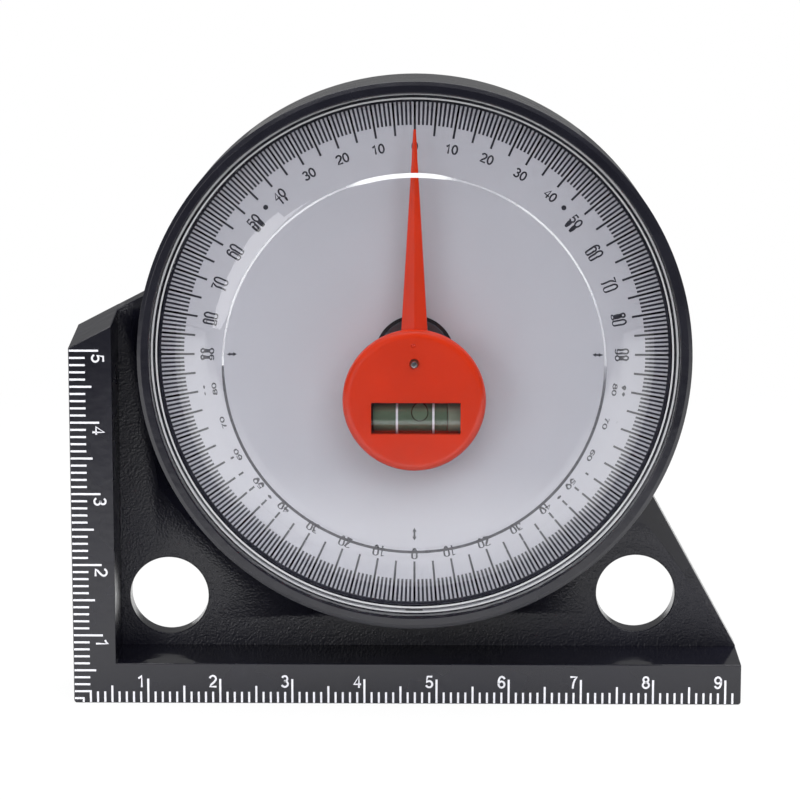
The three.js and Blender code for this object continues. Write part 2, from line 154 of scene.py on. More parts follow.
class PointerSettings(PropertyGroup):
    hub_radius: size("Hub radius", "Radius of the hub in front", 9.75)
    hub_back_radius: size("Hub back radius", "Radius of the hub at its back", 8.8)
    hub_drop: size("Hub drop", "From the pivot down to the hub's centre", 5.2)
    hub_front: size("Hub front", "From the ruled faces to the hub's face", -4.9)
    hub_back: size("Hub back", "From the ruled faces to the hub's back", 1)
    hub_round: size("Hub rounding", "Rounding of the hub's front edge", 1.15)
    hub_wall: size("Hub wall", "Wall of the hub's shell", 0.9)
    hub_face: size("Hub face", "Thickness of the hub's face", 0.75)
    pin_hole: size("Pin hole", "Radius of the hole round the pin", 0.6)
    needle_length: size("Needle length", "From the pivot to the needle's tip", 31)
    needle_root: size("Needle root", "Width of the needle at the hub", 3.6)
    needle_tip: size("Needle tip", "Width of the needle at its tip", 0.35)
    needle_under: size("Needle underside", "From the ruled faces to the needle's underside", -0.8)
    needle_side: size("Needle side", "Height of the needle's sides at the hub", 1.8)
    needle_ridge: size("Needle ridge", "Height of the needle's ridge at the hub", 2.6)
    window_length: size("Window length", "Length of the vial's window", 12.1)
    window_height: size("Window height", "Height of the vial's window", 4.4)
    window_drop: size("Window drop", "From the pivot down to the window's middle", 7.5)
    window_shift: size("Window shift", "From the pivot to the window's middle, to the right", 0.22)
    pin_radius: size("Pin radius", "Radius of the pivot pin", 0.475)
    plastic: colour("Plastic", "Orange moulded plastic", "#D02E00")
    steel: colour("Steel", "Drawn steel of the pin", "#B9BABD")
    brass: colour("Brass", "Turned brass of the bush", "#C9A24A")


class VialSettings(PropertyGroup):
    drop: size("Drop", "From the pivot down to the vial's axis", 7.85)
    radius: size("Radius", "Outer radius of the vial", 2.2)
    bore: size("Bore", "Radius of the vial's bore", 2.0)
    half_length: size("Half length", "Half of the vial's length", 6.61)
    end_wall: size("End wall", "Wall of the vial's closed end", 0.8)
    plug_length: size("Plug length", "How far the plug goes into the bore", 2.1)
    bubble: size("Bubble radius", "Radius of the bubble", 1.12)
    bubble_shift: size("Bubble shift", "From the pivot to the bubble, to the right", 0.75)
    line_left: size("Left line", "From the pivot to the left white line", -2.34)
    line_right: size("Right line", "From the pivot to the right white line", 2.6)
    line_width: size("Line width", "Width of both white lines", 0.3)
    glass: colour("Tube", "Clear plastic of the tube", "#F2F6F2")
    spirit: colour("Spirit", "Green liquid", "#747F6E")
    plug: colour("Plug", "Pale plastic of the plug", "#86867A")


class CoverSettings(PropertyGroup):
    front: size("Front", "From the ruled faces to the cover's front", -6.5)
    wall: size("Wall", "Thickness of the cover's flat front", 0.7)
    cone_wall: size("Cone wall", "Thickness of the cover's cone", 0.865)
    inner_round: size("Inner rounding", "Rounding inside, between the flat front and the cone", 5.75)
    flange_front: size("Flange front", "From the ruled faces to the flange's front", 0.6)
    flange_radius: size("Flange radius", "Outer radius of the flange", 36)
    cone_foot: size("Cone foot", "Radius where the cone meets the flange", 34.95)
    bevel_outer: size("Bevel outer", "Outer radius of the bevel", 28.07)
    bevel_inner: size("Bevel inner", "Inner radius of the bevel", 25.76)
    bevel_height: size("Bevel height", "Height of the bevel", 0.89)
    tint: colour("Tint", "Clear plastic of the cover", "#F7F8FA")


class StageSettings(PropertyGroup):
    target_shift: size("Target shift", "From the middle of the object to what the camera looks at", -0.98)
    target_height: size("Target height", "Height of what the camera looks at", 42.93)
    distance: size("Distance", "From the camera to what it looks at", 470.5)
    elevation: angle("Elevation", "Height of the camera's view", 10.8)
    azimuth: angle("Azimuth", "Turn of the camera's view", 0.69)
    lens: FloatProperty(name="Lens", description="Focal length on a 36 mm sensor", default=155.14)
    floor: colour("Floor", "Pale paper floor", "#EEEEEE")
    table: colour("Table", "Dark table in front of the paper", "#2C2C30")


# Modelling


def deselect():
    """Object mode with nothing selected."""
    if bpy.context.mode != "OBJECT":
        bpy.ops.object.mode_set(mode="OBJECT")
    bpy.ops.object.select_all(action="DESELECT")


def only(*pieces):
    """Selects these pieces alone, the first one active."""
    deselect()
    for piece in pieces:
        piece.select_set(True)
    bpy.context.view_layer.objects.active = pieces[0]


def settle():
    """Puts the place, turn and scale of what is selected into its mesh."""
    bpy.ops.object.transform_apply(location=True, rotation=True, scale=True)


def name_active(name):
    piece = bpy.context.object
    piece.name = piece.data.name = name
    return piece


def draw(name, points):
    """A new piece in edit mode: one vertex, extruded from point to point."""
    deselect()
    bpy.ops.mesh.primitive_plane_add(size=MM, location=points[0])
    piece = name_active(name)
    settle()
    bpy.ops.object.mode_set(mode="EDIT")
    bpy.ops.mesh.merge(type="CENTER")
    for start, end in zip(points, points[1:]):
        bpy.ops.mesh.extrude_region_move(TRANSFORM_OT_translate={"value": end - start})
    bpy.ops.mesh.select_all(action="SELECT")
    return piece


def close_mesh():
    """Merges doubled vertices, turns all faces outwards and leaves edit mode."""
    bpy.ops.mesh.select_all(action="SELECT")
    bpy.ops.mesh.remove_doubles(threshold=0.5 * MICRON)
    bpy.ops.mesh.normals_make_consistent(inside=False)
    bpy.ops.object.mode_set(mode="OBJECT")


def turned(name, profile, centre, steps, along="Y"):
    """Spins a profile of radius and length about an axis through centre."""
    place = {
        "Y": lambda radius, length: centre + Vector((radius, length, 0)),
        "X": lambda radius, length: centre + Vector((length, 0, radius)),
    }[along]
    piece = draw(name, [place(*point) for point in profile])
    axis = (0, 1, 0) if along == "Y" else (1, 0, 0)
    bpy.ops.mesh.spin(steps=steps, angle=FULL_TURN, center=centre, axis=axis)
    close_mesh()
    return piece


def extruded(name, outline, front, back):
    """Fills an outline of x and z and extrudes it from front to back."""
    points = [Vector((x, front, z)) for x, z in [*outline, outline[0]]]
    piece = draw(name, points)
    bpy.ops.mesh.remove_doubles(threshold=0.5 * MICRON)
    bpy.ops.mesh.edge_face_add()
    bpy.ops.mesh.extrude_region_move(TRANSFORM_OT_translate={"value": (0, back - front, 0)})
    close_mesh()
    return piece


def rounded(corners, steps=5):
    """Points of a line through corners of (u, v, radius), with each corner rounded."""
    points = []
    for index, (u, v, radius) in enumerate(corners):
        corner = Vector((u, v))
        if radius == 0:
            points.append(corner)
            continue
        before = (Vector(corners[index - 1][:2]) - corner).normalized()
        after = (Vector(corners[(index + 1) % len(corners)][:2]) - corner).normalized()
        half = before.angle(after) / 2
        centre = corner + (before + after).normalized() * (radius / math.sin(half))
        reach = radius / math.tan(half)
        first = corner + before * reach - centre
        last = corner + after * reach - centre
        start = math.atan2(first.y, first.x)
        sweep = math.remainder(math.atan2(last.y, last.x) - start, FULL_TURN)
        for step in range(steps + 1):
            turn = start + sweep * step / steps
            points.append(centre + Vector((math.cos(turn), math.sin(turn))) * radius)
    return points


def select_edges(piece, wanted):
    """Selects the edges for which wanted says yes, from their two ends, in edit mode."""
    only(piece)
    bpy.ops.object.mode_set(mode="EDIT")
    bpy.ops.mesh.select_mode(type="EDGE")
    bpy.ops.mesh.select_all(action="DESELECT")
    bpy.ops.object.mode_set(mode="OBJECT")
    points = piece.data.vertices
    for edge in piece.data.edges:
        edge.select = wanted(points[edge.vertices[0]].co, points[edge.vertices[1]].co)
    bpy.ops.object.mode_set(mode="EDIT")


def bevel_edges(piece, wanted, width, segments=3):
    """Rounds the edges for which wanted says yes."""
    select_edges(piece, wanted)
    bpy.ops.mesh.bevel(offset=width, segments=segments, affect="EDGES", clamp_overlap=True)
    bpy.ops.mesh.select_mode(type="VERT")
    bpy.ops.object.mode_set(mode="OBJECT")


def apply_modifier(piece, kind, **settings):
    only(piece)
    bpy.ops.object.modifier_add(type=kind)
    modifier = piece.modifiers[-1]
    for key, value in settings.items():
        setattr(modifier, key, value)
    bpy.ops.object.modifier_apply(modifier=modifier.name)


def combine(piece, other, operation):
    """Joins another solid to a piece, or cuts it away or keeps what both share."""
    apply_modifier(piece, "BOOLEAN", object=other, operation=operation, solver="EXACT")
    only(other)
    bpy.ops.object.delete()


def smooth(piece, degrees=32):
    """Smooth faces with sharp creases, flat faces kept flat by their area."""
    only(piece)
    bpy.ops.object.shade_smooth_by_angle(angle=math.radians(degrees), keep_sharp_edges=False)
    apply_modifier(piece, "WEIGHTED_NORMAL", mode="FACE_AREA", keep_sharp=True)


def join(name, pieces):
    """Several pieces as one."""
    only(*pieces)
    if len(pieces) > 1:
        bpy.ops.object.join()
    return name_active(name)


def copy(piece):
    """A copy with a mesh of its own."""
    only(piece)
    bpy.ops.object.duplicate()
    return bpy.context.object


def finish(piece, material, body, slot, *nodes):
    """Gives a finished piece its material and its body, and hides the CAD nodes that it stands for."""
    piece.data.materials.clear()
    piece.data.materials.append(material)
    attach(piece, body)
    if nodes:
        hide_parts(*nodes)
    return piece


def ruled_point(x, y, z):
    """A place counted from the lower left corner of the ruled faces."""
    return Vector((HOUSING_LOW.x + x, ruled_plane() + y, HOUSING_LOW.z + z))


def ruled_plane():
    return HOUSING_HIGH.y - bpy.context.scene.inclinometer_housing.depth


def pivot_point(x=0.0, y=0.0, z=0.0):
    """A place counted from the pivot's axis, in depth from the ruled faces."""
    return Vector((PIVOT.x + x, ruled_plane() + y, PIVOT.z + z))


# Figures: the strokes of each digit, in a box one high and about a half wide


def bow(centre_x, centre_y, half_width, half_height, start, end, steps=10):
    """Points on part of an ellipse, from one angle to another in degrees."""
    turns = [math.radians(start + (end - start) * step / steps) for step in range(steps + 1)]
    return [
        (centre_x + half_width * math.cos(t), centre_y + half_height * math.sin(t)) for t in turns
    ]


def digit_strokes(digit):
    """Centre lines of a plain sans-serif digit."""
    if digit == "0":
        return [bow(0.28, 0.5, 0.205, 0.44, 90, 450, 20)]
    if digit == "1":
        return [[(0.11, 0.72), (0.22, 0.79), (0.325, 0.93), (0.325, 0.0)]]
    if digit == "2":
        return [[*bow(0.27, 0.7, 0.2, 0.24, 170, -25, 9), (0.36, 0.44), (0.17, 0.24), (0.08, 0.06), (0.5, 0.06)]]
    if digit == "3":
        return [
            [*bow(0.26, 0.73, 0.17, 0.21, 160, -80, 9), (0.21, 0.52)],
            [(0.21, 0.52), *bow(0.26, 0.295, 0.2, 0.235, 80, -160, 10)],
        ]
    if digit == "4":
        return [[(0.39, 0.0), (0.39, 0.92), (0.07, 0.29), (0.53, 0.29)]]
    if digit == "5":
        return [[(0.47, 0.93), (0.16, 0.93), (0.1, 0.47), *bow(0.27, 0.315, 0.205, 0.255, 125, -160, 12)]]
    if digit == "6":
        return [
            bow(0.285, 0.31, 0.19, 0.25, 90, 450, 16),
            [*bow(0.31, 0.5, 0.215, 0.44, 35, 200, 10)],
        ]
    if digit == "7":
        return [[(0.07, 0.93), (0.49, 0.93), (0.36, 0.72), (0.27, 0.45), (0.22, 0.0)]]
    if digit == "8":
        return [
            bow(0.28, 0.735, 0.165, 0.205, 90, 450, 16),
            bow(0.28, 0.29, 0.2, 0.235, 90, 450, 16),
        ]
    return [[(0.56 - x, 1.0 - y) for x, y in stroke] for stroke in digit_strokes("6")]


DIGIT_WIDTH = 0.56
STROKE_WIDTH = 0.125


def print_figure(text, height, thickness, weight=1.0, wide=1.0):
    """A flat raised print of a number, centred on the origin and facing +Z."""
    deselect()
    curve = bpy.data.curves.new("figure", "CURVE")
    curve.dimensions = "3D"
    curve.bevel_depth = STROKE_WIDTH * weight / 2
    curve.bevel_resolution = 1
    curve.use_fill_caps = True
    left = -DIGIT_WIDTH * wide * len(text) / 2
    for place, digit in enumerate(text):
        for stroke in digit_strokes(digit):
            loop = (Vector(stroke[0]) - Vector(stroke[-1])).length < 0.001
            points = stroke[:-1] if loop else stroke
            spline = curve.splines.new("POLY")
            spline.points.add(len(points) - 1)
            spline.use_cyclic_u = loop
            for point, (x, y) in zip(spline.points, points):
                point.co = (left + (place * DIGIT_WIDTH + x) * wide, y - 0.5, 0, 1)
    figure = bpy.data.objects.new("figure", curve)
    bpy.context.collection.objects.link(figure)
    only(figure)
    bpy.ops.object.convert(target="MESH")
    figure = bpy.context.object
    figure.scale = (height, height, thickness / (STROKE_WIDTH * weight))
    settle()
    return figure


def place_print(figure, place, turn=0.0):
    """Stands a print up to face the viewer, turned clockwise, at its place."""
    only(figure)
    figure.rotation_euler = Euler((math.radians(90), turn, 0))
    figure.location = place
    settle()
    return figure


def slab(name, corners, front, thickness):
    """A thin raised shape on a face, from its outline of x and z."""
    return extruded(name, corners, front - thickness, front + thickness)


# Materials


class Shader:
    """A material under construction, with Object coordinates in millimetres."""

    def __init__(self, name):
        self.material = bpy.data.materials.new(name)
        self.material.use_nodes = True
        self.tree = self.material.node_tree
        self.shader = self.tree.nodes["Principled BSDF"]
        coordinates = self.tree.nodes.new("ShaderNodeTexCoord")
        scaled = self.add("ShaderNodeMapping", {"Vector": coordinates.outputs["Object"]})
        scaled.inputs["Scale"].default_value = (1 / MM, 1 / MM, 1 / MM)
        self.millimetres = scaled.outputs["Vector"]
        self.normal = coordinates.outputs["Normal"]

    def add(self, kind, inputs=None, **settings):
        """A node with its settings, and its inputs set or linked."""
        node = self.tree.nodes.new(kind)
        for key, value in settings.items():
            setattr(node, key, value)
        for key, value in (inputs or {}).items():
            if isinstance(value, bpy.types.NodeSocket):
                self.tree.links.new(value, node.inputs[key])
            else:
                node.inputs[key].default_value = value
        return node

    def set(self, **inputs):
        """Sets or links the sockets of the main shader, with underscores for spaces."""
        for key, value in inputs.items():
            socket = self.shader.inputs[key.replace("_", " ")]
            if isinstance(value, bpy.types.NodeSocket):
                self.tree.links.new(value, socket)
            else:
                socket.default_value = value

    def noise(self, millimetres, detail=2.0, roughness=0.5):
        """Soft noise whose features are about this many millimetres wide."""
        return self.add(
            "ShaderNodeTexNoise",
            {"Vector": self.millimetres, "Scale": 1 / millimetres, "Detail": detail, "Roughness": roughness},
        ).outputs["Fac"]

    def spread(self, factor, low, high):
        """A factor from 0 to 1 moved to a range, most of it near the middle."""
        node = self.add(
            "ShaderNodeMapRange",
            {"Value": factor, "From Min": 0.3, "From Max": 0.7, "To Min": low, "To Max": high},
        )
        return node.outputs["Result"]

    def tones(self, factor, base, change):
        """The base colour, a little darker and lighter by the factor."""
        ramp = self.add("ShaderNodeValToRGB", {"Fac": factor})
        for stop, share in ((0, 1 - change), (1, 1 + change)):
            ramp.color_ramp.elements[stop].position = 0.3 + 0.4 * stop
            ramp.color_ramp.elements[stop].color = (*[min(1, c * share) for c in base[:3]], 1)
        return ramp.outputs["Color"]

    def bump(self, height, micrometres, strength=1.0):
        """A bump of this height in micrometres."""
        return self.add(
            "ShaderNodeBump",
            {"Height": height, "Distance": micrometres * MICRON, "Strength": strength},
        ).outputs["Normal"]


def moulded_black(settings):
    """Black ABS, injection moulded: a spark-eroded grain on the web, satin edges."""
    s = Shader("moulded_black_abs")
    fine = s.noise(0.25, 3)
    broad = s.noise(9, 2)
    place = s.add("ShaderNodeSeparateXYZ", {"Vector": s.millimetres})
    facing = s.add("ShaderNodeSeparateXYZ", {"Vector": s.normal})
    web_front = (HOUSING_HIGH.y - settings.web_thickness) / MM
    behind = s.add("ShaderNodeMath", {0: place.outputs["Y"], 1: web_front - 0.3}, operation="GREATER_THAN")
    front_face = s.add("ShaderNodeMath", {0: facing.outputs["Y"], 1: -0.7}, operation="LESS_THAN")
    on_web = s.add("ShaderNodeMath", {0: behind.outputs[0], 1: front_face.outputs[0]}, operation="MULTIPLY")
    grain = s.add("ShaderNodeTexVoronoi", {"Vector": s.millimetres, "Scale": 1 / 0.3}, feature="F1")
    mixed = s.add("ShaderNodeMath", {0: grain.outputs["Distance"], 1: fine}, operation="ADD")
    # The real grain is about 0.1 mm; this one is as coarse as the picture can show
    depth = s.add("ShaderNodeMath", {0: mixed.outputs[0], 1: on_web.outputs[0]}, operation="MULTIPLY")
    swell = s.add("ShaderNodeMath", {0: depth.outputs[0], 1: s.noise(2.5, 2)}, operation="ADD")
    # Polished upward faces, which mirror what stands behind them, and a rougher web
    upward = s.add("ShaderNodeMath", {0: facing.outputs["Z"], 1: 0.8}, operation="GREATER_THAN")
    rougher = s.add("ShaderNodeMath", {0: on_web.outputs[0], 1: 0.14, 2: s.spread(broad, 0.22, 0.3)}, operation="MULTIPLY_ADD")
    roughness = s.add("ShaderNodeMath", {0: upward.outputs[0], 1: -0.15, 2: rougher.outputs[0]}, operation="MULTIPLY_ADD")
    s.set(
        Base_Color=s.tones(broad, settings.plastic, 0.15),
        Roughness=roughness.outputs[0],
        IOR=1.52,
        Normal=s.bump(swell.outputs[0], 85, 0.8),
    )
    return s.material


def rule_ink(settings):
    """White pad-printed ink: flat and a little uneven in cover."""
    s = Shader("white_printing_ink")
    patches = s.noise(0.6, 3)
    s.set(Base_Color=s.tones(patches, settings.ink, 0.06), Roughness=s.spread(patches, 0.45, 0.6), IOR=1.5)
    return s.material


def dial_sheet(settings):
    """White PVC sheet, calendered: even and softly matt, with a faint cloudiness."""
    s = Shader("white_pvc_sheet")
    cloud = s.noise(14, 3)
    s.set(
        Base_Color=s.tones(cloud, settings.sheet, 0.015),
        Roughness=s.spread(s.noise(0.5), 0.42, 0.55),
        IOR=1.53,
        Normal=s.bump(s.noise(0.8), 4),
    )
    return s.material


def dial_ink(settings):
    """Dark screen-printing ink: blue-black, with a slight sheen."""
    s = Shader("dark_screen_ink")
    patches = s.noise(0.5, 2)
    s.set(Base_Color=s.tones(patches, settings.ink, 0.2), Roughness=s.spread(patches, 0.4, 0.5), IOR=1.5)
    return s.material


def gloss_black(settings):
    """Black acetal, turned: glossy, with faint tool rings and a raised face painted lighter."""
    s = Shader("turned_black_acetal")
    rings = s.add(
        "ShaderNodeTexWave",
        {"Vector": s.millimetres, "Scale": 1.6, "Distortion": 0.4},
        wave_type="RINGS",
        rings_direction="Y",
    )
    # Painted light: the raised face is painted a little lighter than the flange round it
    place = s.add("ShaderNodeSeparateXYZ", {"Vector": s.millimetres})
    flange = (ruled_plane() + settings.front) / MM - 0.4
    lower = s.add("ShaderNodeMath", {0: place.outputs["Y"], 1: flange}, operation="GREATER_THAN")
    tone = s.add(
        "ShaderNodeMix",
        {0: lower.outputs[0], 6: s.tones(s.noise(2), linear("#3C3C40"), 0.1), 7: s.tones(s.noise(2), settings.collar, 0.1)},
        data_type="RGBA",
    )
    s.set(
        Base_Color=tone.outputs[2],
        Roughness=s.spread(rings.outputs["Fac"], 0.16, 0.24),
        IOR=1.48,
        Normal=s.bump(rings.outputs["Fac"], 2),
    )
    return s.material


def orange_plastic(settings):
    """Orange ABS, injection moulded in a polished mould: glossy, with slow sink waves."""
    s = Shader("moulded_orange_abs")
    broad = s.noise(7, 2)
    fine = s.noise(0.9, 2)
    swell = s.add("ShaderNodeMath", {0: broad, 1: 6.0}, operation="MULTIPLY")
    height = s.add("ShaderNodeMath", {0: swell.outputs[0], 1: fine}, operation="ADD")
    s.set(
        Base_Color=s.tones(broad, settings.plastic, 0.05),
        Roughness=s.spread(fine, 0.2, 0.27),
        IOR=1.52,
        Subsurface_Weight=0.05,
        Subsurface_Radius=(1.0, 0.25, 0.1),
        Subsurface_Scale=0.5 * MM,
        Normal=s.bump(height.outputs[0], 3),
    )
    return s.material


def drawn_steel(settings):
    """Steel wire, drawn and cut: bright, with fine lines round it."""
    s = Shader("drawn_steel_wire")
    lines = s.add(
        "ShaderNodeTexWave",
        {"Vector": s.millimetres, "Scale": 4.0, "Distortion": 2.0, "Detail": 3.0},
        bands_direction="Y",
    )
    s.set(
        Base_Color=s.tones(s.noise(0.4), settings.steel, 0.1),
        Metallic=1.0,
        Roughness=s.spread(lines.outputs["Fac"], 0.2, 0.32),
        Normal=s.bump(lines.outputs["Fac"], 1.5),
    )
    return s.material


def metal(name, tone, low, high):
    """A turned or sawn metal: fine streaks along its length."""
    s = Shader(name)
    streaks = s.add(
        "ShaderNodeTexWave", {"Vector": s.millimetres, "Scale": 3.0, "Distortion": 3.0, "Detail": 4.0}
    )
    s.set(
        Base_Color=s.tones(streaks.outputs["Fac"], tone, 0.08),
        Metallic=1.0,
        Roughness=s.spread(streaks.outputs["Fac"], low, high),
    )
    return s.material


def magnet_rubber():
    """Bonded ferrite strip, extruded: dull brown-black with a speckle of powder."""
    s = Shader("bonded_ferrite_strip")
    specks = s.noise(0.2, 4, 0.7)
    s.set(
        Base_Color=s.tones(specks, linear("#3A302B"), 0.35),
        Roughness=s.spread(specks, 0.65, 0.85),
        IOR=1.5,
        Normal=s.bump(specks, 15),
    )
    return s.material


def natural_nylon(tone):
    """Nylon, moulded without dye: milky, with light scattered under its skin."""
    s = Shader("natural_nylon")
    cloud = s.noise(1.5, 2)
    s.set(
        Base_Color=s.tones(cloud, tone, 0.05),
        Roughness=s.spread(cloud, 0.3, 0.45),
        IOR=1.53,
        Subsurface_Weight=0.2,
        Subsurface_Radius=(1.0, 0.9, 0.7),
        Subsurface_Scale=0.4 * MM,
    )
    return s.material


def clear_plastic(name, tint, ior, low, high):
    """Clear plastic: glass to the eye, and lamps shine through it to what lies behind."""
    s = Shader(name)
    haze = s.noise(5, 2)
    s.set(
        Base_Color=tint,
        Roughness=s.spread(haze, low, high),
        IOR=ior,
        Transmission_Weight=1.0,
    )
    path = s.add("ShaderNodeLightPath")
    through = s.add("ShaderNodeBsdfTransparent", {"Color": tint})
    mix = s.add(
        "ShaderNodeMixShader",
        {0: path.outputs["Is Shadow Ray"], 1: s.shader.outputs[0], 2: through.outputs[0]},
    )
    s.tree.links.new(mix.outputs[0], s.tree.nodes["Material Output"].inputs["Surface"])
    return s.material


def green_spirit(settings, bubble):
    """Green spirit in its vial: a dull grey-green to the eye, paler in the bubble, with a painted dark edge round it,
    painted shade for the bubble's rim.
    """
    s = Shader("green_spirit")
    here = s.add("ShaderNodeSeparateXYZ", {"Vector": s.millimetres})
    flat = s.add("ShaderNodeCombineXYZ", {"X": here.outputs["X"], "Z": here.outputs["Z"]})
    away = s.add(
        "ShaderNodeVectorMath", {0: flat.outputs[0], 1: (bubble.x / MM, 0, bubble.z / MM)}, operation="DISTANCE"
    )
    edge = settings.bubble / MM
    share = s.add("ShaderNodeMath", {0: away.outputs["Value"], 1: 2 * edge}, operation="DIVIDE")
    ramp = s.add("ShaderNodeValToRGB", {"Fac": share.outputs[0]})
    pale = tuple(min(1, c * 1.25) for c in settings.spirit[:3])
    # Painted shade: a dark red-brown ring at the bubble's rim
    dark = linear("#3A2418")[:3]
    stops = ramp.color_ramp.elements
    for place, tone in ((0.44, pale), (0.47, dark), (0.51, dark), (0.54, settings.spirit[:3])):
        stop = stops.new(place)
        stop.color = (*tone, 1)
    stops[0].color = (*pale, 1)
    stops[-1].color = (*settings.spirit[:3], 1)
    cloud = s.add("ShaderNodeMix", {0: s.noise(2, 2), 6: ramp.outputs["Color"], 7: settings.spirit}, data_type="RGBA")
    shade = s.add("ShaderNodeMix", {0: 0.25, 6: ramp.outputs["Color"], 7: cloud.outputs[2]}, data_type="RGBA")
    s.set(
        Base_Color=shade.outputs[2],
        Roughness=s.spread(s.noise(1), 0.05, 0.1),
        IOR=1.36,
        Transmission_Weight=0.25,
    )
    return s.material


def moulded_lines(settings):
    """Painted light on edges of clear polystyrene: painted highlights where they catch the lamp, painted shade where
    they face the floor, and pale lines round the flange.
    """
    s = Shader("polystyrene_edge_painted_light")
    here = s.add("ShaderNodeSeparateXYZ", {"Vector": s.millimetres})
    across = s.add("ShaderNodeMath", {0: here.outputs["X"], 1: PIVOT.x / MM}, operation="SUBTRACT")
    up = s.add("ShaderNodeMath", {0: here.outputs["Z"], 1: PIVOT.z / MM}, operation="SUBTRACT")
    turn = s.add("ShaderNodeMath", {0: up.outputs[0], 1: across.outputs[0]}, operation="ARCTAN2")
    share = s.add("ShaderNodeMath", {0: turn.outputs[0], 1: FULL_TURN, 2: 0.5}, operation="DIVIDE")
    whole = s.add("ShaderNodeMath", {0: share.outputs[0], 1: 1.0, 2: 0.0}, operation="WRAP")
    flat = s.add("ShaderNodeCombineXYZ", {"X": across.outputs[0], "Z": up.outputs[0]})
    radius = s.add("ShaderNodeVectorMath", {0: flat.outputs[0]}, operation="LENGTH")

    def ramp(stops):
        node = s.add("ShaderNodeValToRGB", {"Fac": whole.outputs[0]})
        elements = node.color_ramp.elements
        elements[0].color = (*[stops[0][1]] * 3, 1)
        elements[-1].color = (*[stops[-1][1]] * 3, 1)
        for place, level in stops[1:-1]:
            elements.new(place).color = (level, level, level, 1)
        return node.outputs["Color"]

    # Painted highlights over the top half and a painted dark line over the lower half, counted round the step from the
    # right, over the top
    cover = ramp((
        (0, 0.15), (0.05, 0.15), (0.075, 0.4), (0.15, 0.4), (0.175, 0.12), (0.215, 0.12), (0.228, 0.95), (0.295, 0.95),
        (0.308, 0.12), (0.335, 0.4), (0.455, 0.4), (0.485, 0.15), (0.515, 0.75), (0.97, 0.75), (1, 0.15),
    ))
    wide = ramp(((0, 0.13), (0.215, 0.13), (0.232, 0.3), (0.29, 0.3), (0.308, 0.13), (0.49, 0.13), (0.52, 0.19), (1, 0.19)))
    off = s.add("ShaderNodeMath", {0: radius.outputs["Value"], 1: settings.bevel_inner / MM - 0.06}, operation="SUBTRACT")
    apart = s.add("ShaderNodeMath", {0: off.outputs[0]}, operation="ABSOLUTE")
    inside = s.add("ShaderNodeMath", {0: apart.outputs[0], 1: wide}, operation="LESS_THAN")
    step = s.add("ShaderNodeMath", {0: cover, 1: inside.outputs[0]}, operation="MULTIPLY")
    flange = s.add("ShaderNodeMath", {0: radius.outputs["Value"], 1: settings.bevel_outer / MM}, operation="GREATER_THAN")
    amount = s.add("ShaderNodeMix", {0: flange.outputs[0], 2: step.outputs[0], 3: 0.55})
    upper = s.add("ShaderNodeMath", {0: whole.outputs[0], 1: 0.5}, operation="LESS_THAN")
    light = s.add("ShaderNodeMath", {0: upper.outputs[0], 1: flange.outputs[0]}, operation="MAXIMUM")
    # Painted highlight colour on the step's upper half and on the flange's lines, painted shade colour on the step's
    # lower half
    tone = s.add("ShaderNodeMix", {0: light.outputs[0], 6: linear("#36363C"), 7: linear("#F4F5F8")}, data_type="RGBA")
    mottled = s.add("ShaderNodeMix", {0: s.noise(0.6, 3), 6: tone.outputs[2], 7: linear("#9A9AA0")}, data_type="RGBA")
    shade = s.add("ShaderNodeMix", {0: 0.2, 6: tone.outputs[2], 7: mottled.outputs[2]}, data_type="RGBA")
    s.set(Base_Color=shade.outputs[2], Roughness=s.spread(s.noise(0.8), 0.3, 0.45), IOR=1.59)
    through = s.add("ShaderNodeBsdfTransparent", {"Color": (1, 1, 1, 1)})
    mix = s.add("ShaderNodeMixShader", {0: amount.outputs[0], 1: through.outputs[0], 2: s.shader.outputs[0]})
    s.tree.links.new(mix.outputs[0], s.tree.nodes["Material Output"].inputs["Surface"])
    return s.material


# Pieces


